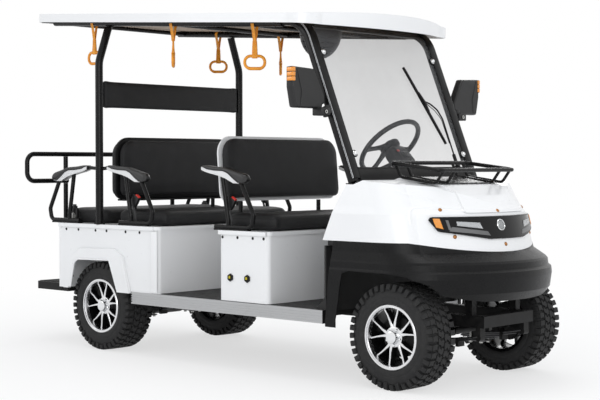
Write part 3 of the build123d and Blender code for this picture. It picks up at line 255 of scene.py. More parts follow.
def smoked_acrylic():
    """Dark see-through visor."""
    finish = Finish("smoked_acrylic", (0.03, 0.03, 0.032), 0.2, specular_ior_level=0.25)
    smears = finish.noise(9.0, 4.0)
    finish.see_through(smears * 0.05 + 0.93)
    finish.colour(finish.blend(smears, (0.03, 0.03, 0.032), (0.05, 0.05, 0.052)))
    finish.rough(smears * 0.1 + 0.1)
    return finish.material


def lamp_glass(name, colour, alpha, ribs):
    """Moulded lens with upright flutes."""
    finish = Finish(name, colour, 0.08, coat_weight=0.6, coat_roughness=0.05)
    flutes = finish.waves(ribs, "Y")
    shade = tuple(c * 0.72 for c in colour)
    finish.colour(finish.blend(flutes, shade, colour))
    finish.see_through(flutes * 0.08 + alpha)
    finish.rough(finish.noise(40.0) * 0.06 + 0.05)
    finish.relief(flutes, 0.0008, 0.5)
    return finish.material


def strap_orange():
    """Bright moulded webbing loops."""
    finish = Finish("strap_orange", (0.9, 0.34, 0.02), 0.42, subsurface_weight=0.05)
    tone = finish.noise(22.0, 4.0)
    weave = finish.waves(260.0, "Z", 0.4)
    finish.colour(finish.blend(tone, (0.95, 0.4, 0.025), (0.82, 0.27, 0.015)))
    finish.rough(weave * 0.12 + 0.34)
    finish.relief(weave, 0.0004, 0.5)
    return finish.material


def plain_moulding(name, colour, roughness, scale=220.0, depth=0.0003, **constants):
    """Small moulded parts with a fine spark-eroded texture."""
    finish = Finish(name, colour, roughness, **constants)
    tone = finish.noise(12.0, 4.0)
    shade = tuple(c * 0.8 for c in colour)
    finish.colour(finish.blend(tone, colour, shade))
    finish.rough(tone * 0.12 + roughness - 0.05)
    finish.relief(finish.noise(scale, 3.0), depth, 0.5)
    return finish.material


def metal(name, colour, roughness):
    """Plated or turned metal."""
    finish = Finish(name, colour, roughness, metallic=1.0)
    tone = finish.noise(30.0, 4.0)
    shade = tuple(c * 0.75 for c in colour)
    finish.colour(finish.blend(tone * 0.6, colour, shade))
    finish.rough(tone * 0.14 + roughness)
    finish.relief(finish.noise(300.0, 2.0), 0.00012, 0.4)
    return finish.material


def roof_lining():
    """Foam-backed tan headlining."""
    finish = Finish("roof_lining", (0.36, 0.27, 0.19), 0.85, sheen_weight=0.15)
    nap = finish.cells(520.0)
    tone = finish.noise(4.0, 4.0)
    finish.colour(finish.blend(tone, (0.4, 0.3, 0.21), (0.31, 0.23, 0.165)))
    finish.rough(0.8 + nap * 0.12)
    finish.relief(nap, 0.0006, 0.6)
    return finish.material


def ribbed_mat():
    """Rubber floor mat with lengthwise ribs."""
    finish = Finish("ribbed_mat", (0.013, 0.013, 0.0135), 0.62, specular_ior_level=0.3)
    ribs = finish.waves(34.0, "Y")
    dust = finish.ramp(finish.noise(13.0, 6.0, 0.7), (0.45, 0.0), (0.75, 1.0))
    finish.colour(finish.blend(dust * 0.45, (0.012, 0.012, 0.0125), (0.045, 0.042, 0.039)))
    finish.rough(dust * 0.2 + 0.5)
    finish.relief(ribs + finish.noise(300.0) * 0.15, 0.0016, 0.7)
    return finish.material


def woven_belt():
    """Seat-belt webbing: a fine twill."""
    finish = Finish("woven_belt", (0.02, 0.02, 0.021), 0.6, sheen_weight=0.2)
    twill = finish.waves(330.0, "DIAGONAL")
    finish.colour(finish.blend(twill, (0.016, 0.016, 0.017), (0.045, 0.045, 0.047)))
    finish.rough(twill * 0.15 + 0.5)
    finish.relief(twill, 0.0005, 0.6)
    return finish.material


white = moulded_white()
bumper_black = textured_black()
gloss_black = painted_black()
satin_black = painted_black("satin_black", 0.4)
steel_black = underside_steel()
vinyl = grained_vinyl()
rubber = tyre_rubber()
alloy = machined_alloy()
alloy_black = painted_black("alloy_black", 0.16)
sill_metal = brushed_aluminium()
glass = glass_with_painted_reflection()
clear_glass = lamp_glass("clear_glass", (0.85, 0.87, 0.88), 0.38, 60.0)
amber_glass = lamp_glass("amber_glass", (0.95, 0.34, 0.03), 0.92, 70.0)
red_glass = lamp_glass("red_glass", (0.6, 0.02, 0.015), 0.95, 70.0)
orange = strap_orange()
tan = roof_lining()
mat_rubber = ribbed_mat()
belt_weave = woven_belt()
dash_black = plain_moulding("dash_black", (0.014, 0.014, 0.0145), 0.5, specular_ior_level=0.35)
grip_black = plain_moulding("grip_black", (0.011, 0.011, 0.0115), 0.4, 320.0, specular_ior_level=0.4)
mirror_grey = plain_moulding("mirror_grey", (0.013, 0.013, 0.0135), 0.42, specular_ior_level=0.4)
case_grey = plain_moulding("case_grey", (0.06, 0.06, 0.065), 0.5)
arm_black = plain_moulding("arm_black", (0.012, 0.012, 0.0125), 0.3, 260.0, 0.0002, specular_ior_level=0.6)
lamp_silver = metal("lamp_silver", (0.17, 0.173, 0.177), 0.3)
lamp_dark = plain_moulding("lamp_dark", (0.006, 0.006, 0.0064), 0.1, 60.0, 0.00005, specular_ior_level=0.22)
# Pale beads along the windshield's glass edges: painted highlight lines.
painted_edge_highlight = plain_moulding("painted_edge_highlight", (0.72, 0.73, 0.74), 0.2)
smoked = smoked_acrylic()
dome_grey = plain_moulding("dome_grey", (0.03, 0.03, 0.032), 0.4, specular_ior_level=0.3)
raw_moulding = plain_moulding("raw_moulding", (0.62, 0.5, 0.36), 0.55)
spring_steel = metal("spring_steel", (0.16, 0.16, 0.165), 0.4)
key_yellow = plain_moulding("key_yellow", (0.75, 0.62, 0.03), 0.4)
white_insert = plain_moulding("white_insert", (0.82, 0.82, 0.82), 0.35)
buckle_red = plain_moulding("buckle_red", (0.75, 0.03, 0.02), 0.35)
chrome = metal("chrome", (0.86, 0.87, 0.88), 0.08)
brass = metal("brass", (0.42, 0.19, 0.07), 0.3)
zinc = metal("zinc", (0.62, 0.62, 0.6), 0.35)
mirror_silver = metal("mirror_silver", (0.9, 0.91, 0.92), 0.02)


# ---------------------------------------------------------------- making pieces
MIRROR = Matrix.Scale(-1, 4, (0, 1, 0))
SIDES = ((1, "left"), (-1, "right"))


def moved(x, y, z):
    return Matrix.Translation((x, y, z))


def turned(degrees, axis):
    return Matrix.Rotation(math.radians(degrees), 4, axis)


def aimed(direction, axis, up):
    """Turn that points an axis along a direction."""
    return direction.to_track_quat(axis, up).to_matrix().to_4x4()


def link(piece):
    bpy.context.collection.objects.link(piece)
    return piece


def piece_of(name, points, faces, *materials, shades=None, smooth=40.0):
    """Mesh piece from points and faces. Shades gives each face's material number."""
    mesh = bpy.data.meshes.new(name)
    mesh.from_pydata([tuple(p) for p in points], [], faces)
    for material in materials:
        mesh.materials.append(material)
    if shades:
        mesh.polygons.foreach_set("material_index", shades)
    return rounded(link(bpy.data.objects.new(name, mesh)), smooth)


def rounded(piece, angle=40.0):
    """Smooth shading with edges sharper than the angle kept crisp."""
    mesh = piece.data
    if angle:
        mesh.polygons.foreach_set("use_smooth", [True] * len(mesh.polygons))
        mesh.set_sharp_from_angle(angle=math.radians(angle))
    mesh.update()
    return piece


def outward(piece):
    """Merges doubles and points every face outwards."""
    shape = bmesh.new()
    shape.from_mesh(piece.data)
    bmesh.ops.remove_doubles(shape, verts=shape.verts, dist=1e-6)
    bmesh.ops.recalc_face_normals(shape, faces=shape.faces)
    shape.to_mesh(piece.data)
    shape.free()
    return piece


def joined(name, *pieces):
    """One piece from several, with their materials kept."""
    materials = []
    whole = bmesh.new()
    for piece in pieces:
        numbers = []
        for material in piece.data.materials:
            if material not in materials:
                materials.append(material)
            numbers.append(materials.index(material))
        part = bmesh.new()
        part.from_mesh(piece.data)
        for face in part.faces:
            face.material_index = numbers[face.material_index] if numbers else 0
        mesh = bpy.data.meshes.new("part")
        part.to_mesh(mesh)
        part.free()
        whole.from_mesh(mesh)
        bpy.data.meshes.remove(mesh)
        bpy.data.objects.remove(piece)
    mesh = bpy.data.meshes.new(name)
    whole.to_mesh(mesh)
    whole.free()
    for material in materials:
        mesh.materials.append(material)
    return link(bpy.data.objects.new(name, mesh))


def placed(piece, matrix):
    """Moves a piece's mesh and leaves its object at the origin."""
    piece.data.transform(matrix)
    if matrix.determinant() < 0:
        piece.data.flip_normals()
    piece.data.update()
    return piece


def copied(piece, name, matrix):
    """Moved copy with a mesh of its own."""
    twin = link(bpy.data.objects.new(name, piece.data.copy()))
    return placed(twin, matrix)


def bent_path(points, bend, steps=6):
    """Straight runs with rounded corners."""
    points = [Vector(p) for p in points]
    path = [points[0]]
    for before, corner, after in zip(points, points[1:], points[2:]):
        a = (before - corner).normalized()
        b = (after - corner).normalized()
        half = a.angle(b) / 2
        cut = min(bend / math.tan(half), (before - corner).length * 0.49, (after - corner).length * 0.49)
        radius = cut * math.tan(half)
        centre = corner + (a + b).normalized() * (radius / math.sin(half))
        start = corner + a * cut - centre
        turn = start.angle(corner + b * cut - centre)
        axis = start.cross(corner + b * cut - centre)
        for step in range(steps + 1):
            path.append(centre + Matrix.Rotation(turn * step / steps, 3, axis) @ start)
    path.append(points[-1])
    return path


def swept(name, path, section, material, closed=False, up=(0, 0, 1), sizes=None):
    """Carries a closed section (side, up) along a path, with capped ends."""
    count = len(path)
    rings = []
    side = None
    for i, point in enumerate(path):
        before = path[i - 1] if i or closed else point
        after = path[(i + 1) % count] if i < count - 1 or closed else point
        along = (Vector(after) - Vector(before)).normalized()
        if side is None:
            side = along.cross(Vector(up))
            if side.length < 1e-3:
                side = along.cross(Vector((0, 1, 0)))
        side = (side - along * side.dot(along)).normalized()
        over = side.cross(along)
        scale = sizes[i] if sizes else 1.0
        wide, high = scale if isinstance(scale, tuple) else (scale, scale)
        rings.append([Vector(point) + side * (u * wide) + over * (v * high) for u, v in section])
    points = [p for ring in rings for p in ring]
    n = len(section)
    faces = []
    for i in range(count if closed else count - 1):
        j = (i + 1) % count
        faces += [(i * n + k, i * n + (k + 1) % n, j * n + (k + 1) % n, j * n + k) for k in range(n)]
    if not closed:
        faces += [tuple(reversed(range(n))), tuple(range((count - 1) * n, count * n))]
    return rounded(outward(piece_of(name, points, faces, material)))


def beside(point, *shifts):
    """Points beside a point, at shifts across."""
    return [point + Vector((0, y, 0)) for y in shifts]


def disc_section(radius, sides):
    """Circle as an even polygon."""
    angles = [math.tau * k / sides for k in range(sides)]
    return [(radius * math.cos(angle), radius * math.sin(angle)) for angle in angles]


def slab_section(width, height, corner, steps=3):
    """Rounded rectangle."""
    points = []
    for cx, cy, start in ((1, 1, 0), (-1, 1, 90), (-1, -1, 180), (1, -1, 270)):
        for step in range(steps + 1):
            angle = math.radians(start + 90 * step / steps)
            points.append((cx * (width / 2 - corner) + corner * math.cos(angle),
                           cy * (height / 2 - corner) + corner * math.sin(angle)))
    return points


def ring_faces(count, n):
    """Quads between equal rings of n points."""
    return [(r * n + k, r * n + (k + 1) % n, (r + 1) * n + (k + 1) % n, (r + 1) * n + k)
            for r in range(count - 1) for k in range(n)]


def hull_of(name, rings, material):
    """Closed skin over a stack of equal rings, capped at both ends."""
    n = len(rings[0])
    faces = ring_faces(len(rings), n)
    faces += [tuple(reversed(range(n))), tuple(range((len(rings) - 1) * n, len(rings) * n))]
    return outward(piece_of(name, [p for ring in rings for p in ring], faces, material, smooth=0))


def stacked(name, levels, material, corner=0.35, steps=5, smooth=40.0):
    """Rounded rectangles stacked along Z: (z, width, height, y shift where there is one)."""
    rings = [[Vector((a, sum(shift) + b, z)) for a, b in slab_section(wide, high, min(wide, high) * corner, steps)]
             for z, wide, high, *shift in levels]
    return rounded(hull_of(name, rings, material), smooth)


def tube(name, points, radius, material, sides=12):
    """Round bar through points."""
    return swept(name, points, disc_section(radius, sides), material)


def lathed(name, profile, material, steps=64, close=False):
    """Turned round the Y axis from a list of (along, radius)."""
    points = []
    for step in range(steps):
        angle = math.tau * step / steps
        points += [(r * math.sin(angle), y, r * math.cos(angle)) for y, r in profile]
    n = len(profile)
    faces = []
    for step in range(steps):
        a = step * n
        b = (step + 1) % steps * n
        faces += [(a + k, a + (k + 1) % n, b + (k + 1) % n, b + k) for k in range(n if close else n - 1)]
    return rounded(outward(piece_of(name, points, faces, material)), 32.0)


def boxed(name, low, high, material, bevel=0.0, steps=2):
    """Block with softened edges."""
    shape = bmesh.new()
    bmesh.ops.create_cube(shape, size=1.0)
    for vert in shape.verts:
        vert.co = Vector([low[i] + (vert.co[i] + 0.5) * (high[i] - low[i]) for i in range(3)])
    if bevel:
        bmesh.ops.bevel(shape, geom=shape.edges[:], offset=bevel, segments=steps, profile=0.5, affect="EDGES")
    mesh = bpy.data.meshes.new(name)
    shape.to_mesh(mesh)
    shape.free()
    mesh.materials.append(material)
    return rounded(link(bpy.data.objects.new(name, mesh)))


# ---- repeats by node trees ----
def new_tree(name, sockets):
    tree = bpy.data.node_groups.new(name, "GeometryNodeTree")
    for label, kind in sockets:
        tree.interface.new_socket(label, in_out="INPUT", socket_type="NodeSocket" + kind)
    tree.interface.new_socket("Geometry", in_out="OUTPUT", socket_type="NodeSocketGeometry")
    return tree, tree.nodes.new("NodeGroupInput"), tree.nodes.new("NodeGroupOutput")


def tree_node(tree, kind, inputs=None, **settings):
    node = tree.nodes.new(kind)
    for key, value in settings.items():
        setattr(node, key, value)
    for key, value in (inputs or {}).items():
        if isinstance(value, bpy.types.NodeSocket):
            tree.links.new(value, node.inputs[key])
        else:
            node.inputs[key].default_value = value
    return node


def end_tree(tree, geometry, given, out):
    real = tree_node(tree, "GeometryNodeRealizeInstances", {0: geometry})
    dressed = tree_node(tree, "GeometryNodeSetMaterial", {"Geometry": real.outputs[0],
                                                          "Material": given.outputs["Material"]})
    tree.links.new(dressed.outputs[0], out.inputs[0])
    return tree


def repeat_tree():
    """Repeats a piece in even steps, each moved and turned by the same amount."""
    tree, given, out = new_tree("even_repeat", (("Geometry", "Geometry"), ("Piece", "Object"), ("Count", "Int"),
                                                ("Step", "Vector"), ("Turn", "Vector"), ("Material", "Material")))
    line = tree_node(tree, "GeometryNodeMeshLine", {"Count": given.outputs["Count"],
                                                    "Offset": given.outputs["Step"]})
    index = tree_node(tree, "GeometryNodeInputIndex")
    turn = tree_node(tree, "ShaderNodeVectorMath", {0: given.outputs["Turn"], 3: index.outputs[0]},
                     operation="SCALE")
    source = tree_node(tree, "GeometryNodeObjectInfo", {"Object": given.outputs["Piece"]})
    spread = tree_node(tree, "GeometryNodeInstanceOnPoints", {
        "Points": line.outputs[0], "Instance": source.outputs["Geometry"], "Rotation": turn.outputs[0]})
    return end_tree(tree, spread.outputs[0], given, out)


def seat_tree():
    """Sets a piece on each point, with its top along the point's facing."""
    tree, given, out = new_tree("set_on_points", (("Geometry", "Geometry"), ("Piece", "Object"),
                                                  ("Material", "Material")))
    facing = tree_node(tree, "GeometryNodeInputNamedAttribute", {"Name": "facing"}, data_type="FLOAT_VECTOR")
    turn = tree_node(tree, "FunctionNodeAlignRotationToVector", {"Vector": facing.outputs[0]}, axis="Z")
    source = tree_node(tree, "GeometryNodeObjectInfo", {"Object": given.outputs["Piece"]})
    spread = tree_node(tree, "GeometryNodeInstanceOnPoints", {
        "Points": given.outputs["Geometry"], "Instance": source.outputs["Geometry"],
        "Rotation": turn.outputs[0]})
    return end_tree(tree, spread.outputs[0], given, out)


REPEAT = repeat_tree()
SEAT = seat_tree()


def grown(tree, name, mesh=None, **inputs):
    """Runs a tree once and keeps the result as a plain mesh."""
    piece = link(bpy.data.objects.new(name, mesh or bpy.data.meshes.new(name)))
    modifier = piece.modifiers.new("grow", "NODES")
    modifier.node_group = tree
    for item in tree.interface.items_tree:
        if item.in_out == "INPUT" and item.name in inputs:
            modifier[item.identifier] = inputs[item.name]
    graph = bpy.context.evaluated_depsgraph_get()
    mesh = bpy.data.meshes.new_from_object(piece.evaluated_get(graph))
    piece.modifiers.remove(modifier)
    piece.data = mesh
    return piece


def ring_of(name, piece, count, material, start=0.0):
    """Repeats a piece round the Y axis."""
    if start:
        placed(piece, Matrix.Rotation(start, 4, "Y"))
    result = grown(REPEAT, name, Piece=piece, Count=count, Step=(0.0, 0.0, 0.0),
                   Turn=(0.0, math.tau / count, 0.0), Material=material)
    bpy.data.objects.remove(piece)
    return rounded(result)


def row_of(name, piece, count, step, material):
    """Repeats a piece in even steps."""
    result = grown(REPEAT, name, Piece=piece, Count=count, Step=step, Turn=(0.0, 0.0, 0.0), Material=material)
    bpy.data.objects.remove(piece)
    return rounded(result)


def set_on(name, piece, places, material):
    """Sets copies of a piece at (point, facing) places."""
    mesh = bpy.data.meshes.new(name)
    mesh.from_pydata([tuple(point) for point, _ in places], [], [])
    facing = mesh.attributes.new("facing", "FLOAT_VECTOR", "POINT")
    for item, (_, direction) in zip(facing.data, places):
        item.vector = direction
    result = grown(SEAT, name, mesh, Piece=piece, Material=material)
    bpy.data.objects.remove(piece)
    return rounded(result)


def surface_of(piece):
    """Search tree of a piece's faces."""
    mesh = piece.data
    return BVHTree.FromPolygons([v.co for v in mesh.vertices], [p.vertices for p in mesh.polygons])


def on_surface(node, start, direction):
    """(point, facing) where a ray meets a node's surface."""
    return surface_of(nodes[node]).ray_cast(Vector(start), Vector(direction).normalized())[:2]


def assembled(name, parts, angle, slot, *replaced):
    """Joins parts into one piece of the chassis, its edges kept crisp above the angle."""
    return belongs(rounded(joined(name, *parts), angle), "chassis", slot, *replaced)


def belongs(piece, body, slot, *replaced):
    """Hands a finished piece to its body and hides the parts that it replaces; the slot is not used."""
    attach(piece, body)
    if replaced:
        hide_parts(*replaced)
    return piece


# ---------------------------------------------------------------- tyres and wheels
TYRE_RADIUS = 0.275
TYRE_HALF = 0.1025
TREAD_PITCH = 40


def tread_block(outline, low, high, inset=0.0016):
    """Raised block: outline of (degrees, across), from one radius to another, edges drawn in at the top."""
    middle_a = sum(a for a, _ in outline) / len(outline)
    middle_y = sum(y for _, y in outline) / len(outline)
    points = []
    for radius, shrink in ((low, 0.0), (high - 0.0015, 0.0), (high, inset)):
        for angle, y in outline:
            a = math.radians(angle)
            pull_a = math.radians(middle_a - angle)
            reach = math.hypot(pull_a * radius, middle_y - y) or 1.0
            a += pull_a * shrink / reach
            across = y + (middle_y - y) * shrink / reach
            points.append((radius * math.sin(a), across, radius * math.cos(a)))
    n = len(outline)
    faces = ring_faces(3, n) + [tuple(range(2 * n, 3 * n))]
    return outward(piece_of("block", points, faces, rubber, smooth=0))


def side_lug(turn, span, low, high):
    """Shallow lug that runs from the shoulder down the sidewall."""
    points = []
    for radius, y, reach in ((high, TYRE_HALF - 0.0075, span), (high - 0.014, TYRE_HALF - 0.002, span),
                             (low + 0.004, TYRE_HALF, span), (low, TYRE_HALF - 0.0045, span),
                             (high, 0.08, span * 1.15), (low, TYRE_HALF - 0.02, span * 1.15)):
        for a in (math.radians(turn - reach), math.radians(turn + reach)):
            points.append((radius * math.sin(a), y, radius * math.cos(a)))
    faces = [(0, 1, 3, 2), (2, 3, 5, 4), (4, 5, 7, 6), (0, 2, 4, 6, 10, 8), (1, 9, 11, 7, 5, 3), (6, 7, 11, 10)]
    return outward(piece_of("lug", points, faces, rubber, smooth=0))


def make_tyre():
    """Carcass with two rows of hooked centre blocks, shoulder blocks and sidewall lugs."""
    half = TYRE_HALF
    side = [(half - 0.008, 0.170), (half - 0.0045, 0.176), (half - 0.002, 0.186), (half - 0.0015, 0.2),
            (half - 0.0035, 0.2035), (half - 0.0028, 0.2065), (half - 0.0045, 0.222), (half - 0.009, 0.2385),
            (half - 0.0175, 0.2525), (half - 0.03, 0.2605), (half - 0.055, 0.264), (0.0, 0.2655)]
    profile = [(-y, r) for y, r in side] + [(y, r) for y, r in reversed(side[:-1])]
    profile += [(half - 0.016, 0.166), (-half + 0.016, 0.166)]
    parts = [lathed("carcass", profile, rubber, 96, close=True)]
    hook = ((-3.6, 0.004), (-0.6, 0.0025), (2.6, 0.005), (3.4, 0.016), (1.6, 0.023), (3.0, 0.034),
            (5.2, 0.044), (2.2, 0.0475), (-1.6, 0.044), (-2.4, 0.03), (-4.4, 0.02))
    shoulder = ((-3.1, 0.0515), (0.2, 0.055), (3.0, 0.0525), (3.4, 0.068), (3.1, half - 0.0115),
                (-2.9, half - 0.0115), (-2.3, 0.068))
    rows = ((hook, 0.262, TYRE_RADIUS, 0.0), (shoulder, 0.252, TYRE_RADIUS - 0.0008, 4.5))
    for sign, stagger in ((1, 0.0), (-1, 360 / TREAD_PITCH / 2)):
        for outline, low, high, start in rows:
            block = tread_block([(sign * a, sign * y) for a, y in outline], low, high)
            parts.append(ring_of("blocks", block, TREAD_PITCH, rubber, math.radians(start + stagger)))
        for low, start in ((0.234, 0.0), (0.243, 360 / TREAD_PITCH)):
            lug = side_lug(4.5, 2.6, low, TYRE_RADIUS - 0.003)
            if sign < 0:
                placed(lug, MIRROR)
            parts.append(ring_of("lugs", lug, TREAD_PITCH // 2, rubber, math.radians(start + stagger)))
    return joined("tyre", *parts)


def spoke(angle_hub, angle_rim):
    """Tapered spoke: a narrow bright face on deep black flanks."""
    stations = ((0.036, 0.0, 0.0085, 0.065), (0.058, 0.12, 0.0078, 0.0655), (0.083, 0.4, 0.0062, 0.065),
                (0.118, 0.75, 0.0048, 0.0625), (0.1535, 1.0, 0.0052, 0.0655))
    points = []
    for radius, share, half, face in stations:
        a = math.radians(angle_hub + (angle_rim - angle_hub) * share)
        outwards = Vector((math.sin(a), 0, math.cos(a)))
        sideways = Vector((math.cos(a), 0, -math.sin(a)))
        for width, y in ((-half, face - 0.002), (-half * 0.72, face), (half * 0.72, face), (half, face - 0.002),
                         (half + 0.0055, face - 0.032), (-half - 0.0055, face - 0.032)):
            points.append(outwards * radius + sideways * width + Vector((0, y, 0)))
    faces = []
    shades = []
    for i in range(len(stations) - 1):
        for k in range(6):
            faces.append((i * 6 + k, i * 6 + (k + 1) % 6, i * 6 + 6 + (k + 1) % 6, i * 6 + 6 + k))
            shades.append(0 if k < 3 else 1)
    last = len(points) - 6
    faces += [(5, 4, 3, 2, 1, 0), tuple(range(last, last + 6))]
    shades += [1, 1]
    return outward(piece_of("spoke", points, faces, alloy, alloy_black, shades=shades, smooth=0))


def make_rim():
    """Ten slim spokes in five pairs, a bright lip, a domed cap and the drum behind."""
    lip = [(0.0985, 0.158), (0.0985, 0.166), (0.095, 0.169), (0.088, 0.1685), (0.087, 0.164), (0.0895, 0.152),
           (0.074, 0.1495), (0.0665, 0.1485), (0.064, 0.152), (0.07, 0.1575)]
    barrel = [(0.07, 0.1575), (0.064, 0.1505), (0.02, 0.1455), (-0.05, 0.1475), (-0.088, 0.152), (-0.0985, 0.166),
              (-0.09, 0.1685), (-0.082, 0.162), (-0.05, 0.1545), (0.02, 0.1525), (0.06, 0.158)]
    parts = [lathed("lip", lip, alloy, 96, close=True), lathed("barrel", barrel, alloy_black, 96, close=True)]
    spokes = []
    for pair in range(5):
        for sign in (1, -1):
            spokes.append(placed(spoke(sign * 8, sign * 17.5), Matrix.Rotation(math.tau * pair / 5, 4, "Y")))
    parts.append(rounded(joined("spokes", *spokes), 30.0))
    hub = [(0.03, 0.0), (0.03, 0.05), (0.058, 0.0535), (0.0645, 0.0525), (0.0665, 0.048), (0.0665, 0.0375),
           (0.0635, 0.035), (0.0635, 0.0)]
    parts.append(lathed("hub", hub, alloy, 48))
    cap = [(0.06, 0.0), (0.06, 0.034), (0.087, 0.0335), (0.0915, 0.0315), (0.0935, 0.027), (0.0945, 0.014),
           (0.0948, 0.0)]
    parts.append(lathed("cap", cap, chrome, 48))
    nut = lathed("nut", [(0.0, 0.0), (0.0, 0.0075), (0.012, 0.007), (0.014, 0.005), (0.014, 0.0)], chrome, 6)
    placed(nut, moved(0, 0.064, 0.043))
    parts.append(ring_of("nuts", nut, 5, chrome, math.radians(36)))
    drum = [(-0.03, 0.0), (-0.03, 0.1), (-0.026, 0.106), (0.018, 0.106), (0.024, 0.1), (0.026, 0.06), (0.03, 0.055),
            (0.03, 0.0)]
    parts.append(lathed("drum", drum, steel_black, 48))
    rib = boxed("rib", (-0.0025, -0.02, 0.104), (0.0025, 0.016, 0.1095), steel_black, 0.001)
    parts.append(ring_of("ribs", rib, 24, steel_black))
    parts.append(tube("valve", [(0, 0.062, 0.146), (0, 0.083, 0.141)], 0.0035, rubber))
    return joined("rim", *parts)


tyre = make_tyre()
rim = make_rim()
for corner, x, side in (("front_left", FRONT_AXLE_X, 1), ("front_right", FRONT_AXLE_X, -1),
                        ("rear_left", REAR_AXLE_X, 1), ("rear_right", REAR_AXLE_X, -1)):
    place = moved(x, side * WHEEL_Y, AXLE_Z)
    if side < 0:
        place = place @ turned(180, "Z")
    place = place @ turned(7, "Y")
    body = "wheel_" + corner
    belongs(rounded(copied(tyre, "dressed_tyre_" + corner, place), 35.0), body, "tyre_rubber", "tyre_" + corner)
    belongs(rounded(copied(rim, "dressed_wheel_" + corner, place), 30.0), body, "wheel_alloy", "wheel_" + corner)
bpy.data.objects.remove(tyre)
bpy.data.objects.remove(rim)


# ---------------------------------------------------------------- cushions and pads
def pad_outline(plan, inset):
    """Rounded outline of a pad; a fourth size gives the lower corners their own radius."""
    wide, high, corner = plan[:3]
    outline = slab_section(wide - 2 * inset, high - 2 * inset, max(corner - inset, 0.008), 8)
    if len(plan) > 3:
        lower = slab_section(wide - 2 * inset, high - 2 * inset, max(plan[3] - inset, 0.008), 8)
        outline = outline[:len(outline) // 2] + lower[len(lower) // 2:]
    return outline


def pad_start(name, plan, axes, centre, depth, edge, inset, grid):
    """Closed pad: a rounded outline in a plane, given a depth with softened edges."""
    wide, high = plan[:2]
    u, v, w = (Vector(a) for a in axes)
    outline = pad_outline(plan, inset)
    depth -= 2 * inset
    bows = [math.radians(22.5 * step) for step in range(5)]
    levels = [(-depth / 2 + edge * (1 - math.cos(bow)), edge * (1 - math.sin(bow))) for bow in bows]
    levels += [(-level, shrink) for level, shrink in reversed(levels)]
    rings = []
    for level, shrink in levels:
        k = max(0.0, 1 - shrink / (wide / 2 - inset))
        m = max(0.0, 1 - shrink / (high / 2 - inset))
        rings.append([Vector(centre) + u * (a * k) + v * (b * m) + w * level for a, b in outline])
    piece = hull_of(name, rings, vinyl)
    remesh = piece.modifiers.new("even", "REMESH")
    remesh.mode = "VOXEL"
    remesh.voxel_size = grid
    applied(piece)
    return piece


def applied(piece):
    """Makes the modifiers' result the piece's own mesh."""
    graph = bpy.context.evaluated_depsgraph_get()
    mesh = bpy.data.meshes.new_from_object(piece.evaluated_get(graph))
    piece.modifiers.clear()
    piece.data = mesh
    return piece


PUFF_STEPS = 20


def puffed(piece, cap):
    """Swells a pad by cloth simulation, no point moving more than the cap."""
    start = [v.co.copy() for v in piece.data.vertices]
    cloth = piece.modifiers.new("swell", "CLOTH")
    cloth.settings.use_pressure = True
    cloth.settings.uniform_pressure_force = 4.0
    cloth.settings.effector_weights.gravity = 0.0
    cloth.settings.quality = 4
    cloth.point_cache.frame_start = 1
    cloth.point_cache.frame_end = PUFF_STEPS
    for step in range(1, PUFF_STEPS + 1):
        bpy.context.scene.frame_set(step)
    applied(piece)
    for vert, origin in zip(piece.data.vertices, start):
        shift = vert.co - origin
        if shift.length > cap:
            vert.co = origin + shift.normalized() * cap
    bpy.context.scene.frame_set(1)
    return piece


def smoothed(piece):
    """Subdivides a piece once and shades it without sharp edges."""
    subdivision = piece.modifiers.new("even", "SUBSURF")
    subdivision.levels = 1
    subdivision.render_levels = 1
    applied(piece)
    return rounded(piece, 180.0)


def bounded(piece, low, high=None):
    """Presses a pad flat against the planes that it rests on."""
    for vert in piece.data.vertices:
        for axis in range(3):
            if low[axis] is not None:
                vert.co[axis] = max(vert.co[axis], low[axis])
            if high:
                vert.co[axis] = min(vert.co[axis], high[axis])
    return piece


def seam_on(piece, name, plan, axes, centre, depth, inset, radius):
    """Welted seam that follows a pad's surface round its outline."""
    u, v, w = (Vector(a) for a in axes)
    tree = surface_of(piece)
    path = []
    for a, b in pad_outline(plan, inset):
        guide = Vector(centre) + u * a + v * b + w * depth
        found, normal, _, _ = tree.find_nearest(guide)
        path.append(found - normal * radius * 0.25)
    dense = []
    for here, there in zip(path, path[1:] + path[:1]):
        pieces = max(1, int((there - here).length / 0.04))
        for step in range(pieces):
            guide = here.lerp(there, step / pieces)
            found, normal, _, _ = tree.find_nearest(guide)
            dense.append(found - normal * radius * 0.25)
    return swept(name, dense, disc_section(radius, 8), vinyl, closed=True)


def cushion(name, start, end, half, low, high, corner):
    """Bench cushion: crowned top, flat base."""
    centre = ((start + end) / 2, 0.0, (low + high) / 2)
    axes = ((1, 0, 0), (0, 1, 0), (0, 0, 1))
    plan = (end - start, 2 * half, corner)
    piece = pad_start(name, plan, axes, centre, high - low, 0.024, 0.006, 0.014)
    puffed(piece, 0.011)
    bounded(piece, (start, -half, low), (end, half, high + 0.004))
    smoothed(piece)
    bounded(piece, (None, None, low))
    welts = [seam_on(piece, "welt", plan, axes, centre, lift, 0.0, 0.0026)
             for lift in ((high - low) * 0.34, -(high - low) * 0.4)]
    return joined(name, piece, *welts)


for name, start, end in (("cushion_rear", -1.353, -0.970), ("cushion_middle", -0.865, -0.402),
                         ("cushion_front", 0.092, 0.508)):
    piece = cushion(name, start, end, 0.55, SEAT_BASE_TOP + 0.0005, 0.877, 0.045)
    belongs(rounded(piece, 60.0), "chassis", "seat_vinyl", "seat_cushions")


def pressed(piece, axes, centre, reach):
    """Keeps a pad inside lengths along its own axes, given as low and high from its centre."""
    across = Matrix([Vector(a) for a in axes])
    back = across.transposed()
    middle = Vector(centre)
    for vert in piece.data.vertices:
        local = across @ (vert.co - middle)
        for axis, (low, high) in enumerate(reach):
            local[axis] = min(max(local[axis], low), high)
        vert.co = middle + back @ local
    return piece


BACK_FOOT_Z = 0.940
BACK_RISE = 0.1925


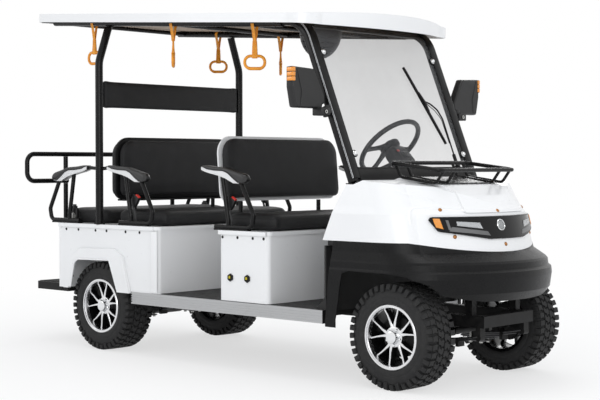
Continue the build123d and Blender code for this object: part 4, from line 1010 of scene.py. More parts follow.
def back_axes(x, lean, way=1):
    """Axes of a seat back (side, up, out) and the middle of its board."""
    tilt = math.radians(lean)
    up = Vector((-math.sin(tilt), 0, math.cos(tilt)))
    out = Vector((math.cos(tilt), 0, math.sin(tilt))) * way
    return (up.cross(out), up, out), Vector((x, 0, BACK_FOOT_Z)) + up * BACK_RISE


def back_pad(name, x, lean, way, rear):
    """Seat back's pad: crowned face, a soft edge all round and a flat back on its shell."""
    depth = 0.0615 - rear
    axes, board = back_axes(x, lean, way)
    centre = board + axes[2] * (rear + depth / 2)
    plan = (0.996, 0.372, 0.103, 0.049)
    piece = pad_start(name, plan, axes, centre, depth, 0.014, 0.005, 0.012)
    puffed(piece, 0.009)
    reach = ((-plan[0] / 2, plan[0] / 2), (-plan[1] / 2, plan[1] / 2), (-depth / 2, depth / 2 + 0.006))
    pressed(piece, axes, centre, reach)
    smoothed(piece)
    welts = [seam_on(piece, "welt", plan, axes, centre, lift, inset, 0.0018)
             for lift, inset in ((depth * 0.42, 0.006), (-depth * 0.36, 0.0))]
    return joined(name, piece, *welts)


for name, x, lean, way, rear in (("front_back_pad", 0.030, 5, 1, 0.0015), ("middle_back_pad", -0.920, 0, 1, 0.0135),
                                 ("rear_back_pad", -0.920, 0, -1, 0.0135)):
    piece = back_pad(name, x, lean, way, rear)
    belongs(rounded(piece, 60.0), "chassis", "seat_vinyl", "back_pads")


def head_roll():
    """Board above the middle seats: a firm face with a fuller roll along its lower edge."""
    half, low, high = 0.5855, 1.4972, 1.6798
    axes = ((0, 1, 0), (0, 0, 1), (1, 0, 0))
    middle_x = -0.940
    centre = (middle_x, 0.0, (low + high) / 2)
    plan = (2 * half, high - low, 0.02)
    piece = pad_start("head_pad", plan, axes, centre, 0.05, 0.012, 0.004, 0.012)
    for vert in piece.data.vertices:
        lift = (vert.co.z - low) / (high - low)
        vert.co.x = middle_x + (vert.co.x - middle_x) * (0.78 + 0.22 * math.exp(-((lift - 0.07) / 0.12) ** 2))
    puffed(piece, 0.006)
    pressed(piece, axes, centre, ((-half, half), (-(high - low) / 2, (high - low) / 2), (-0.027, 0.027)))
    smoothed(piece)
    welt = seam_on(piece, "welt", plan, axes, centre, 0.016, 0.004, 0.0016)
    return joined("head_pad", piece, welt)


piece = head_roll()
belongs(rounded(piece, 60.0), "chassis", "seat_vinyl", "head_panel")


def back_shell(name, x, lean, plan, levels, material):
    """Moulded board behind a seat back's pads, with a rounded edge."""
    (side, up, out), centre = back_axes(x, lean)
    rings = [[centre + side * a + up * b + out * level for a, b in pad_outline(plan, shrink)]
             for level, shrink in levels]
    return rounded(hull_of(name, rings, material), 30.0)


shell = back_shell("front_back_shell", 0.030, 5, (1.004, 0.380, 0.107, 0.053),
                   ((-0.013, 0.010), (-0.0115, 0.004), (-0.007, 0.0), (-0.002, 0.0), (0.001, 0.003)), white)
belongs(shell, "chassis", "white_body", "seat_back_shells")
SHARED_BACK_X = -0.920
shell = back_shell("shared_back_shell", SHARED_BACK_X, 0, (1.010, 0.385, 0.110, 0.056),
                   ((-0.013, 0.008), (-0.0115, 0.003), (-0.007, 0.0), (0.007, 0.0), (0.0115, 0.003), (0.013, 0.008)),
                   satin_black)
rails = [swept("rail", [(x, -0.45, 0.934), (x, 0.45, 0.934)], slab_section(0.03, 0.012, 0.003), satin_black)
         for x in (SHARED_BACK_X - 0.02, SHARED_BACK_X + 0.02)]
belongs(joined("shared_back_shell", shell, *rails), "chassis", "gloss_black", "seat_back_shells")


# ---- armrests ----
ARM_Y = 0.598
ARM_TOP = ((0.002, 1.074), (0.006, 1.086), (0.014, 1.096), (0.030, 1.104), (0.062, 1.112), (0.113, 1.124),
           (0.164, 1.137), (0.211, 1.1415), (0.258, 1.143), (0.300, 1.148), (0.331, 1.152), (0.352, 1.150),
           (0.362, 1.146))
ARM_LOW = ((0.002, 1.070), (0.006, 1.062), (0.012, 1.055), (0.022, 1.050), (0.060, 1.049), (0.103, 1.050),
           (0.164, 1.076), (0.227, 1.093), (0.305, 1.107), (0.340, 1.116), (0.362, 1.124))
ARM_INSERT = ((0.062, 1.052), (0.075, 1.060), (0.103, 1.076), (0.125, 1.092), (0.144, 1.105), (0.165, 1.113),
              (0.185, 1.119), (0.258, 1.122), (0.316, 1.129), (0.345, 1.140), (0.360, 1.143))


def height_at(table, place):
    """Height read from a table of (place, height)."""
    for (a, low), (b, high) in zip(table, table[1:]):
        if place <= b:
            return low + (high - low) * max(0.0, place - a) / (b - a)
    return table[-1][1]


def arm_ease(place):
    """Share of an armrest's width at a place: round at the tip and drawn in at the heel."""
    if place < 0.03:
        return 0.5 + 0.5 * math.sqrt(place / 0.03)
    if place > 0.344:
        return 0.7 + 0.3 * math.sqrt((0.364 - place) / 0.02)
    return 1.0


def arm_layer(name, places, low, high, half, corner, material):
    """Layer of an armrest between two height tables; sections are rounded rectangles."""
    rings = []
    for place in places:
        bottom, top = height_at(low, place), height_at(high, place)
        tall = max(top - bottom, 0.004)
        section = slab_section(2 * half * arm_ease(place), tall, min(corner, tall * 0.46), 4)
        rings.append([Vector((place, a, (bottom + top) / 2 + b)) for a, b in section])
    return hull_of(name, rings, material)


def make_armrest():
    """Black pad with a full round tip and a pale insert let into each side."""
    places = [0.002, 0.006, 0.014, 0.03, 0.05, 0.062, 0.075, 0.09, 0.103, 0.125, 0.144, 0.165, 0.185, 0.22, 0.258,
              0.29, 0.316, 0.34, 0.352, 0.362]
    under = tuple((p, height_at(ARM_LOW, p) if p < 0.064 else height_at(ARM_INSERT, p) - 0.003) for p in places)
    pad = smoothed(arm_layer("arm", places, under, ARM_TOP, 0.027, 0.016, arm_black))
    ball = lathed("ball", [(0.027 * math.sin(math.radians(a)), 0.027 * math.cos(math.radians(a)))
                           for a in range(-90, 91, 15)], arm_black, 24)
    placed(ball, moved(0.029, 0, 1.077))
    inner = [place for place in places if place > 0.06]
    tops = [(p, height_at(ARM_INSERT, p)) for p in inner]
    core = arm_layer("core", inner, ARM_LOW, tuple((p, z + 0.004) for p, z in tops), 0.019, 0.004, arm_black)
    insert = []
    for side in (1, -1):
        band = arm_layer("band", inner, tuple((p, height_at(ARM_LOW, p) + 0.0005) for p in inner), tops, 0.0045, 0.003,
                         white_insert)
        insert.append(rounded(placed(band, moved(0, side * 0.021, 0)), 40.0))
    grooves = [swept("groove", [(p, side * 0.0262, z + 0.002) for p, z in tops], disc_section(0.0016, 6),
                     gloss_black) for side in (1, -1)]
    return joined("armrest", pad, rounded(ball), rounded(core), *insert, *grooves)


arm = make_armrest()
for number, (tip, way) in enumerate(((-1.415, -1), (-0.490, 1), (0.355, 1))):
    for side, label in SIDES:
        turn = Matrix.Diagonal((-way, 1, 1, 1))
        piece = copied(arm, f"armrest_{number}_{label}", moved(tip, side * ARM_Y, 0) @ turn)
        belongs(rounded(piece, 50.0), "chassis", "seat_vinyl", "armrest_pads")
bpy.data.objects.remove(arm)


# ---- hanging straps ----
ROOF_TUBE = 0.020
STRAP_Y = 0.538


def rail_z(distance):
    """Height of the roof rail's middle at a distance ahead of the rear axle."""
    return 2.0737 - ROOF_SLOPE * (distance + 0.556)


def make_ring():
    """Grip ring: a flattened loop, scalloped underneath for the fingers, in its sleeve."""
    wide, high = 0.112, 0.070
    path = [Vector((a, 0, b)) for a, b in slab_section(wide, high, 0.033, 9)]
    dense = []
    sizes = []
    for here, there in zip(path, path[1:] + path[:1]):
        steps = max(1, int((there - here).length / 0.006))
        dense += [here.lerp(there, step / steps) for step in range(steps)]
    for point in dense:
        low = point.z < -high / 2 + 0.002
        sizes.append((1.12 if low else 1.0, 1.0 + (0.1 * math.cos(point.x * 340) if low else 0.0)))
    ring = swept("ring", dense, disc_section(0.0084, 12), orange, closed=True, up=(0, 1, 0), sizes=sizes)
    levels = ((0.022, 0.028, 0.017), (0.024, 0.031, 0.021), (0.040, 0.033, 0.023), (0.048, 0.032, 0.018),
              (0.075, 0.030, 0.013), (0.108, 0.027, 0.0095), (0.118, 0.0255, 0.008), (0.120, 0.023, 0.006))
    sleeve = stacked("sleeve", levels, orange, steps=4, smooth=50.0)
    ribs = row_of("ribs", boxed("rib", (-0.0115, -0.0062, 0.084), (0.0115, 0.0062, 0.0856), orange, 0.0005, 1),
                  6, (0, 0, 0.0052), orange)
    return joined("grip", ring, sleeve, ribs)


grip = make_ring()
STRAPS = ((-0.100, -1, 0), (0.635, -1, -45), (1.312, -1, 45), (-0.100, 1, 45), (0.488, 1, -45))
for number, (distance, side, turn) in enumerate(STRAPS):
    x = REAR_AXLE_X + distance
    y = side * STRAP_Y
    middle = rail_z(distance)
    ring_z = rail_z(distance + (0.003 if turn else 0.013)) - ROOF_TUBE - 0.0006 - 0.170 - 0.0275
    parts = [copied(grip, "grip", moved(x, y, ring_z) @ turned(turn, "Z"))]
    for leg in (1, -1):
        path = [(x, y + leg * 0.0115, middle + 0.0185), (x, y + leg * 0.0195, middle + 0.0105),
                (x, y + leg * 0.0218, middle), (x, y + leg * 0.0205, middle - 0.012),
                (x, y + leg * 0.0135, middle - 0.038), (x, y + leg * 0.0045, ring_z + 0.128),
                (x, y + leg * 0.0022, ring_z + 0.112)]
        path = bent_path(path, 0.02, 3)
        parts.append(swept("leg", path, slab_section(0.0017, 0.024, 0.0007, 1), orange, up=(1, 0, 0)))
    stitch = boxed("stitch", (-0.008, -0.0036, 0.124), (0.008, 0.0036, 0.1252), orange, 0.0004, 1)
    rows = row_of("rows", stitch, 3, (0, 0, 0.0045), orange)
    placed(rows, moved(x, y, ring_z))
    parts.append(rows)
    assembled(f"grab_strap_{number}", parts, 50.0, "orange_strap", "grab_straps")
bpy.data.objects.remove(grip)


# ---- belts ----
def make_buckle():
    """Receiver with its release button, on a sheathed stalk."""
    up = Vector((0.53, 0, 0.848))
    across = Vector((0.848, 0, -0.53))
    frame_of = Matrix(((across.x, 0, up.x, 0.178), (0, 1, 0, 0), (across.z, 0, up.z, 0.935), (0, 0, 0, 1)))
    rings = []
    for level, wide, deep in ((-0.040, 0.020, 0.012), (-0.036, 0.030, 0.018), (-0.022, 0.050, 0.0225),
                              (0.0, 0.056, 0.024), (0.024, 0.056, 0.024), (0.033, 0.053, 0.0225),
                              (0.036, 0.048, 0.019)):
        rings.append([Vector((a, b, level)) for a, b in slab_section(wide, deep, 0.005, 3)])
    body = rounded(hull_of("body", rings, grip_black), 45.0)
    button = boxed("button", (-0.008, -0.0085, 0.030), (0.024, 0.0085, 0.0435), buckle_red, 0.002)
    slot = boxed("slot", (-0.0245, -0.006, 0.034), (-0.010, 0.006, 0.0375), gloss_black, 0.001)
    seam = boxed("seam", (-0.0283, -0.0004, -0.03), (0.0283, 0.0004, 0.034), gloss_black)
    for piece in (body, button, slot, seam):
        placed(piece, frame_of)
    stalk = swept("stalk", bent_path([(0.185, 0, 0.788), (0.182, 0, 0.84), (0.160, 0, 0.905)], 0.05),
                  slab_section(0.016, 0.006, 0.0025), belt_weave, up=(0, 1, 0))
    anchor = boxed("anchor", (0.172, -0.004, 0.7856), (0.198, 0.004, 0.806), zinc, 0.002)
    bolt = placed(lathed("bolt", [(0.0, 0.0), (0.0, 0.008), (0.006, 0.0075), (0.006, 0.0)], zinc, 6),
                  moved(0.185, 0.0035, 0.795))
    return joined("buckle", body, button, slot, seam, stalk, anchor, bolt)


buckle = make_buckle()
for number, shift in ((0, -0.830), (1, 0.0)):
    for side, label in SIDES:
        turn = moved(shift, side * 0.566, 0) @ Matrix.Diagonal((1, side, 1, 1))
        piece = copied(buckle, f"belt_buckle_{number}_{label}", turn)
        belongs(rounded(piece, 45.0), "chassis", "belt_webbing", "seat_belts")
bpy.data.objects.remove(buckle)
for side, label in SIDES:
    y = side * 0.5655
    parts = [boxed("case", (-1.273, y - 0.012, 0.7853), (-1.208, y + 0.012, 0.880), grip_black, 0.005, 3),
             boxed("mouth", (-1.262, y - 0.0075, 0.874), (-1.219, y + 0.0075, 0.893), mirror_grey, 0.003),
             swept("tail", [(-1.2405, y, 0.886), (-1.2405, y, 0.903)], slab_section(0.034, 0.003, 0.001), belt_weave,
                   up=(0, 1, 0)),
             tube("spool", [(-1.2405, y - 0.0128, 0.828), (-1.2405, y + 0.0128, 0.828)], 0.022, zinc, sides=24)]
    assembled("belt_reel_" + label, parts, 40.0, "belt_webbing", "seat_belts")


# ---- steering wheel and column ----
WHEEL_CENTRE = Vector((0.630, 0.305, 1.262))
TILT = math.radians(44)
WHEEL_FRAME = Matrix(((0, -math.sin(TILT), -math.cos(TILT), WHEEL_CENTRE.x), (1, 0, 0, WHEEL_CENTRE.y),
                      (0, -math.cos(TILT), math.sin(TILT), WHEEL_CENTRE.z), (0, 0, 0, 1)))


def make_steering_wheel():
    """Padded rim with finger grips behind, three dished spokes and a horn pad."""
    path = []
    sizes = []
    for step in range(120):
        angle = math.tau * step / 120
        path.append(Vector((0.2 * math.cos(angle), 0.2 * math.sin(angle), 0)))
        swell = 1.0 + 0.05 * max(0.0, math.cos(2 * angle)) + 0.03 * math.cos(24 * angle)
        sizes.append((min(swell, 1.0), min(swell, 1.0)))
    parts = [swept("rim", path, disc_section(0.0148, 16), grip_black, closed=True, sizes=sizes),
             swept("seam", [Vector((p.x * 0.9285, p.y * 0.9285, 0)) for p in path], disc_section(0.0007, 6),
                   gloss_black, closed=True)]
    for angle, wide in ((8, 0.040), (90, 0.044), (172, 0.040)):
        turn = math.radians(angle)
        out = Vector((math.cos(turn), math.sin(turn), 0))
        side = Vector((-math.sin(turn), math.cos(turn), 0))
        rings = []
        for reach, width, level, thick in ((0.045, wide + 0.012, 0.004, 0.014), (0.09, wide - 0.004, 0.001, 0.012),
                                           (0.14, wide - 0.008, -0.001, 0.011), (0.188, wide, 0.0, 0.012)):
            rings.append([out * reach + side * a + Vector((0, 0, level + b))
                          for a, b in slab_section(width, thick, 0.004, 3)])
        parts.append(rounded(hull_of("spoke", rings, satin_black), 40.0))
        parts.append(swept("groove", [out * 0.075 + Vector((0, 0, 0.0085)), out * 0.165 + Vector((0, 0, 0.0065))],
                           slab_section(0.012, 0.0016, 0.0006, 1), gloss_black))
    parts.append(stacked("boss", ((-0.0225, 0.095, 0.095), (-0.018, 0.115, 0.115), (0.0, 0.122, 0.122),
                                  (0.004, 0.120, 0.120)), satin_black, 0.49, 10))
    parts.append(stacked("horn_pad", ((0.003, 0.112, 0.100, 0.004), (0.0075, 0.110, 0.098, 0.004),
                                      (0.0088, 0.100, 0.088, 0.004), (0.0092, 0.060, 0.050, 0.004)),
                         grip_black, 0.3, 6))
    return placed(joined("dressed_steering_wheel", *parts), WHEEL_FRAME)


belongs(rounded(make_steering_wheel(), 40.0), "steering_wheel", "gloss_black", "steering_wheel")


def make_controls():
    """Column shroud with its display, stalks and selector, and two pedals on arms."""
    # Local Z runs down the column; X is left and Y is up the column's face.
    down = Matrix(((0, math.sin(TILT), math.cos(TILT), WHEEL_CENTRE.x), (1, 0, 0, WHEEL_CENTRE.y),
                   (0, math.cos(TILT), -math.sin(TILT), WHEEL_CENTRE.z), (0, 0, 0, 1)))
    column = [stacked("shroud", ((0.0295, 0.086, 0.066), (0.032, 0.100, 0.076), (0.05, 0.128, 0.090),
                                 (0.075, 0.139, 0.095), (0.150, 0.139, 0.095), (0.185, 0.124, 0.088),
                                 (0.240, 0.104, 0.080), (0.400, 0.100, 0.078)), dash_black, 0.3, 6),
              tube("shaft", [(0, 0, 0.0), (0, 0, 0.034)], 0.0088, zinc, sides=20),
              swept("parting", [(a, b, 0.112) for a, b in slab_section(0.1402, 0.0962, 0.0287, 6)],
                    disc_section(0.0008, 6), gloss_black, closed=True)]
    display = stacked("display", ((0.0, 0.072, 0.050), (0.004, 0.070, 0.048), (0.005, 0.066, 0.044)),
                      gloss_black, 0.2, 4)
    column.append(placed(display, moved(0, 0.0455, 0.118) @ turned(-90, "X")))
    for side in (1, -1):
        column.append(tube("stalk", [(side * 0.062, 0.01, 0.07), (side * 0.066, 0.012, 0.07)], 0.0045, grip_black))
    red = stacked("selector", ((0.0, 0.022, 0.014), (0.003, 0.022, 0.014), (0.0038, 0.020, 0.012)),
                  buckle_red, 0.3, 3)
    column.append(placed(red, moved(-0.040, 0.0460, 0.085) @ turned(-90, "X")))
    for piece in column:
        placed(piece, down)
    wide, tall = 0.056, 0.106
    for y in (0.235, 0.375):
        pad = stacked("pedal", ((-0.0055, wide, tall), (0.0, wide + 0.003, tall + 0.003),
                                (0.0052, wide, tall)), grip_black, 0.14, 4)
        ribs = row_of("ribs", boxed("rib", (-0.024, -0.043, 0.0048), (0.024, -0.039, 0.0066), grip_black, 0.0008, 1),
                      9, (0, 0.0102, 0), grip_black)
        face = joined("face", pad, ribs)
        # The pad faces the driver: its Z becomes -X.
        face_frame = Matrix(((0, 0, -1, 0.874), (1, 0, 0, y), (0, 1, 0, 0.525), (0, 0, 0, 1)))
        column.append(placed(face, face_frame))
        column.append(swept("arm", bent_path([(0.880, y, 0.540), (0.890, y, 0.568), (0.9075, y, 0.568)], 0.01),
                            slab_section(0.014, 0.009, 0.003), zinc, up=(0, 1, 0)))
    return joined("dressed_controls", *column)


belongs(rounded(make_controls(), 40.0), "chassis", "black_trim", "driver_controls")


# ---- lamp band ----
NOSE_TREE = surface_of(nodes["cowl"])
BAND_RISE = 0.010


def nose_hit(y, z):
    """Point of the cowl's face at a place across and a height."""
    found = NOSE_TREE.ray_cast(Vector((3, y, z)), Vector((-1, 0, 0)))[0]
    return Vector((found.x, y, z))


def on_nose(y, z, off=0.0):
    """Point off the bowed face at a place across and a height, counted from the lamp band's own rise."""
    across = nose_hit(y + 0.006, z) - nose_hit(y - 0.006, z)
    facing = Vector((across.y, -across.x, 0)).normalized()
    return nose_hit(y, z) + facing * (off + BAND_RISE)


def nose_facing(y, z):
    """Direction that the cowl faces at a place."""
    across = nose_hit(y + 0.012, z) - nose_hit(y - 0.012, z)
    upwards = nose_hit(y, z + 0.012) - nose_hit(y, z - 0.012)
    return across.cross(upwards).normalized()


def nose_plate(name, place, columns, rows, rise, depth, material, edge=0.0015):
    """Slab laid on the nose; place gives (across, height) for two shares."""
    points = []
    for off, draw in ((rise - depth, 0.0), (rise - edge, 0.0), (rise, edge)):
        for j in range(rows + 1):
            for i in range(columns + 1):
                y, z = place(i / columns, j / rows)
                middle_y, middle_z = place(0.5, 0.5)
                reach = math.hypot(middle_y - y, middle_z - z) or 1.0
                points.append(on_nose(y + (middle_y - y) * draw / reach, z + (middle_z - z) * draw / reach, off))
    layer = (rows + 1) * (columns + 1)

    def at(level, i, j):
        return level * layer + j * (columns + 1) + i

    faces = []
    for j in range(rows):
        for i in range(columns):
            faces.append((at(0, i, j), at(0, i, j + 1), at(0, i + 1, j + 1), at(0, i + 1, j)))
            faces.append((at(2, i, j), at(2, i + 1, j), at(2, i + 1, j + 1), at(2, i, j + 1)))
    for level in (0, 1):
        for i in range(columns):
            faces.append((at(level, i, 0), at(level, i + 1, 0), at(level + 1, i + 1, 0), at(level + 1, i, 0)))
            faces.append((at(level, i + 1, rows), at(level, i, rows), at(level + 1, i, rows),
                          at(level + 1, i + 1, rows)))
        for j in range(rows):
            faces.append((at(level, 0, j + 1), at(level, 0, j), at(level + 1, 0, j), at(level + 1, 0, j + 1)))
            faces.append((at(level, columns, j), at(level, columns, j + 1), at(level + 1, columns, j + 1),
                          at(level + 1, columns, j)))
    return rounded(outward(piece_of(name, points, faces, material, smooth=0)), 35.0)


def corners(lower_left, lower_right, upper_right, upper_left):
    """Place on a patch with four given corners."""
    def place(s, t):
        low = [a + (b - a) * s for a, b in zip(lower_left, lower_right)]
        high = [a + (b - a) * s for a, b in zip(upper_left, upper_right)]
        return tuple(a + (b - a) * t for a, b in zip(low, high))
    return place


def band_place(grow):
    """Place on the whole band: level above, stepped down in the middle below, with round ends."""
    round_corner = 0.02

    def place(s, t):
        half = 0.425 + grow + 0.02 * t
        y = -half + 2 * half * s
        out = max(0.0, abs(y) - (half - round_corner))
        pull = round_corner - math.sqrt(max(0.0, round_corner ** 2 - out ** 2))
        drop = min(1.0, max(0.0, (abs(y) - 0.15) / 0.27))
        low = 0.772 + 0.043 * drop - grow + pull
        high = 0.889 + grow - pull * 0.8
        return y, low + (high - low) * t
    return place


mask = nose_plate("mask", band_place(0.0), 96, 10, 0.0012, 0.0112, lamp_dark, 0.003)
shape = band_place(-0.0045)
rim_points = [on_nose(*shape(s / 96, 0.0), 0.0012) for s in range(97)]
rim_points += [on_nose(*shape(s / 96, 1.0), 0.0012) for s in range(96, -1, -1)]
bead = swept("bead", rim_points, disc_section(0.0016, 6), satin_black, closed=True)
parts = [mask, bead]
plates = (("upright", ((-0.368, 0.822), (-0.354, 0.820), (-0.360, 0.872), (-0.374, 0.874)),
           2, 6, 0.0035, 0.004, lamp_silver),
          ("along_low", ((-0.366, 0.816), (-0.141, 0.789), (-0.155, 0.812), (-0.350, 0.838)),
           20, 3, 0.0038, 0.004, lamp_silver),
          ("strip_bed", ((-0.328, 0.842), (-0.181, 0.824), (-0.192, 0.859), (-0.326, 0.867)),
           14, 4, 0.0022, 0.003, lamp_dark),
          ("reflector", ((-0.320, 0.846), (-0.188, 0.8285), (-0.197, 0.8545), (-0.319, 0.8625)),
           14, 4, 0.0028, 0.002, lamp_silver))
for other_side in (False, True):
    for name, patch, *rest in plates:
        piece = nose_plate(name, corners(*patch), *rest)
        parts.append(placed(piece, MIRROR) if other_side else piece)
assembled("lamp_mask", parts, 35.0, "black_trim", "lamp_band")

lenses = []
for side in (1, -1):
    lens = nose_plate("lens", corners((-0.324, 0.8435), (-0.184, 0.8255), (-0.195, 0.857), (-0.323, 0.8655)),
                      14, 4, 0.006, 0.003, clear_glass)
    lenses.append(lens if side > 0 else placed(lens, MIRROR))
ROUND_LAMP = (-0.0535, 0.842)
turn = (moved(*on_nose(*ROUND_LAMP, 0.001)) @ aimed(nose_facing(*ROUND_LAMP), "Y", "Z")
        @ Matrix.Diagonal((0.95, 1, 1, 1)))
bezel = lathed("bezel", [(-0.012, 0.0315), (0.004, 0.0315), (0.0065, 0.0295), (0.0055, 0.027), (0.001, 0.0255),
                         (-0.012, 0.0255)], chrome, 40, close=True)
bulb = lathed("bulb", [(0.0075, 0.0), (0.0068, 0.010), (0.0045, 0.019), (0.001, 0.0252), (-0.010, 0.0252),
                       (-0.010, 0.0)], clear_glass, 40)
dish = lathed("dish", [(-0.0102, 0.0), (-0.0100, 0.008), (-0.0055, 0.018), (0.0, 0.0245), (-0.0115, 0.0245),
                       (-0.0115, 0.0)], lamp_silver, 40)
for piece in (bezel, bulb, dish):
    lenses.append(placed(piece, turn))
assembled("head_lenses", lenses, 35.0, "clear_lens", "lamp_lenses")


# ---- soft creases pressed into the nose ----
def crease(name, places, width, height):
    """Low rib lying on the cowl, given as places across and up."""
    path = []
    for (y1, z1), (y2, z2) in zip(places, places[1:]):
        path += [(y1 + (y2 - y1) * s / 5, z1 + (z2 - z1) * s / 5) for s in range(5)]
    path.append(places[-1])
    for _ in range(4):
        inner = [((a[0] + 2 * b[0] + c[0]) / 4, (a[1] + 2 * b[1] + c[1]) / 4)
                 for a, b, c in zip(path, path[1:], path[2:])]
        path = [path[0]] + inner + [path[-1]]
    spots = [nose_hit(y, z) for y, z in path]
    rings = []
    for i, spot in enumerate(spots):
        out = nose_facing(*path[i])
        onward = spots[min(i + 1, len(spots) - 1)] - spots[max(i - 1, 0)]
        across = onward.cross(out).normalized()
        ends = min(1.0, min(i, len(spots) - 1 - i) / 6 + 0.05)
        ring = []
        for step in range(9):
            share = -1 + step / 4
            lift = height * ends * (0.5 + 0.5 * math.cos(math.pi * share)) - 0.0002
            ring.append(spot + across * (width / 2 * share) + out * lift)
        ring.append(spot + across * (width * 0.4) - out * 0.0015)
        ring.append(spot - across * (width * 0.4) - out * 0.0015)
        rings.append(ring)
    return hull_of(name, rings, white)


half = [(-0.500, 0.815), (-0.519, 0.854), (-0.519, 0.892), (-0.506, 0.919), (-0.473, 0.935), (-0.434, 0.936),
        (-0.398, 0.931), (-0.334, 0.925), (-0.265, 0.921), (-0.19, 0.919), (-0.086, 0.919), (0.0, 0.919)]
recess = crease("recess", half + [(-y, z) for y, z in half[-2::-1]], 0.020, 0.0032)
shoulder = [(-0.530, 1.022), (-0.494, 1.008), (-0.448, 0.994), (-0.412, 0.979), (-0.377, 0.966), (-0.335, 0.957)]
near = crease("shoulder_near", shoulder, 0.022, 0.003)
far = crease("shoulder_far", [(-y, z) for y, z in shoulder], 0.022, 0.003)
belongs(joined("nose_creases", recess, near, far), "chassis", "white_body")

slat = boxed("slat", (1.200, -0.292, 1.0555), (1.440, -0.266, 1.0585), gloss_black, 0.001)
belongs(row_of("basket_tray", slat, 14, (0, 0.0429, 0), gloss_black), "chassis", "gloss_black")


# ---- mirrors ----
def soft_outline(points, bend):
    """Closed outline with rounded corners."""
    points = [Vector(p) for p in points]
    start = (points[0] + points[-1]) / 2
    return bent_path([start, *points, start], bend, 4)[:-1]


def make_mirror():
    """Housing with a raised outer corner, its glass, neck and clamp block."""
    outline = soft_outline([(0, -0.8235, 1.667), (0, -0.655, 1.660), (0, -0.573, 1.512), (0, -0.573, 1.478),
                            (0, -0.634, 1.452), (0, -0.800, 1.452), (0, -0.8235, 1.560)], 0.014)
    middle = Vector((0, -0.70, 1.56))

    def layers(*levels):
        """Outlines drawn in by a share: (x, share)."""
        return [[Vector((x, *(middle + (p - middle) * share).yz)) for p in outline] for x, share in levels]

    housing = hull_of("housing", layers((0.850, 0.93), (0.853, 0.985), (0.862, 1.0), (0.884, 1.0), (0.895, 0.98),
                                        (0.900, 0.93)), mirror_grey)
    silver = hull_of("silver", layers((0.8512, 0.9), (0.849, 0.9), (0.8482, 0.88)), mirror_silver)
    rounded(housing, 35.0)
    rounded(silver, 30.0)
    ridge = swept("ridge", [(0.8985, -0.790, 1.655), (0.9005, -0.755, 1.540), (0.8985, -0.765, 1.462)],
                  disc_section(0.004, 8), mirror_grey)
    neck = stacked("neck", ((0.0, 0.034, 0.036), (0.028, 0.040, 0.040), (0.046, 0.034, 0.034)),
                   grip_black, 0.3, 4)
    placed(neck, moved(0.882, -0.612, 1.442))
    block = boxed("block", (0.868, -0.642, 1.414), (0.938, -0.572, 1.456), grip_black, 0.006, 3)
    clamp = tube("clamp", [(0.905, -0.553, 1.418), (0.887, -0.553, 1.462)], 0.031, grip_black, sides=24)
    placed(clamp, moved(0.896, -0.553, 0) @ Matrix.Diagonal((1, 0.8, 1, 1)) @ moved(-0.896, 0.553, 0))
    bolt = placed(lathed("bolt", [(0.0, 0.0), (0.0, 0.010), (0.004, 0.010), (0.004, 0.006), (0.001, 0.005),
                                  (0.001, 0.0)], zinc, 24), moved(0.9375, -0.608, 1.435) @ turned(-90, "Z"))
    washer = placed(lathed("washer", [(0.0, 0.0), (0.0, 0.016), (0.0022, 0.015), (0.0022, 0.0)], satin_black, 24),
                    moved(0.9365, -0.608, 1.435) @ turned(-90, "Z"))
    return joined("mirror", housing, silver, ridge, neck, block, clamp, bolt, washer)


def make_repeater():
    """Three-cell repeater lens wrapped over a mirror's outer corner."""
    cells = [boxed("cell", (0.8575, -0.8272, z), (0.9035, -0.806, z + 0.0225), amber_glass, 0.003, 3)
             for z in (1.590, 1.6145, 1.639)]
    frame_piece = boxed("frame", (0.8565, -0.8262, 1.587), (0.9005, -0.803, 1.664), satin_black, 0.003)
    return joined("repeater", *cells, frame_piece)


for make, name, slot, node in ((make_mirror, "mirror", "black_trim", "mirrors"),
                               (make_repeater, "repeater", "amber_lens", "indicator_lenses")):
    first = make()
    belongs(rounded(copied(first, name + "_left", MIRROR), 35.0), "chassis", slot, node)
    belongs(rounded(first, 35.0), "chassis", slot, node)
for side, label in reversed(SIDES):
    base = nose_plate("lens_bed", corners((-0.4255, 0.8295), (-0.3855, 0.8215), (-0.394, 0.8855), (-0.4325, 0.8855)),
                      6, 6, 0.0028, 0.003, lamp_dark)
    lens = nose_plate("lens", corners((-0.4215, 0.836), (-0.390, 0.8265), (-0.398, 0.8805), (-0.4285, 0.8815)),
                      6, 6, 0.0062, 0.004, amber_glass, 0.0025)
    pair = joined("turn_lamp_" + label, base, lens)
    if side > 0:
        placed(pair, MIRROR)
    belongs(rounded(pair, 35.0), "chassis", "amber_lens", "indicator_lenses")


# ---- windshield ----
FOOT = Vector((1.060, 0, 1.062))
RISE = Vector((-0.27, 0, 0.66)).normalized()
FACE = Vector((RISE.z, 0, -RISE.x))
PILLAR_Y = 0.530
GLASS_OFF = 0.0225


def pillar_path(off, end=None, start=0.0):
    """Side line of the windshield: straight, then one long bend back to the roof rail."""
    corner = FOOT + RISE * ((1.932 - FOOT.z) / RISE.z)
    points = [FOOT + RISE * start, corner, Vector((0.475, 0, 1.948))]
    path = bent_path(points, 0.34, 18)
    shifted = []
    for i, point in enumerate(path):
        along_it = (path[min(i + 1, len(path) - 1)] - path[max(i - 1, 0)]).normalized()
        shifted.append(point + Vector((along_it.z, 0, -along_it.x)) * off)
    return shifted[:end] if end else shifted


def at_y(path, y):
    """The same line at another place across."""
    return [Vector((p.x, y, p.z)) for p in path]


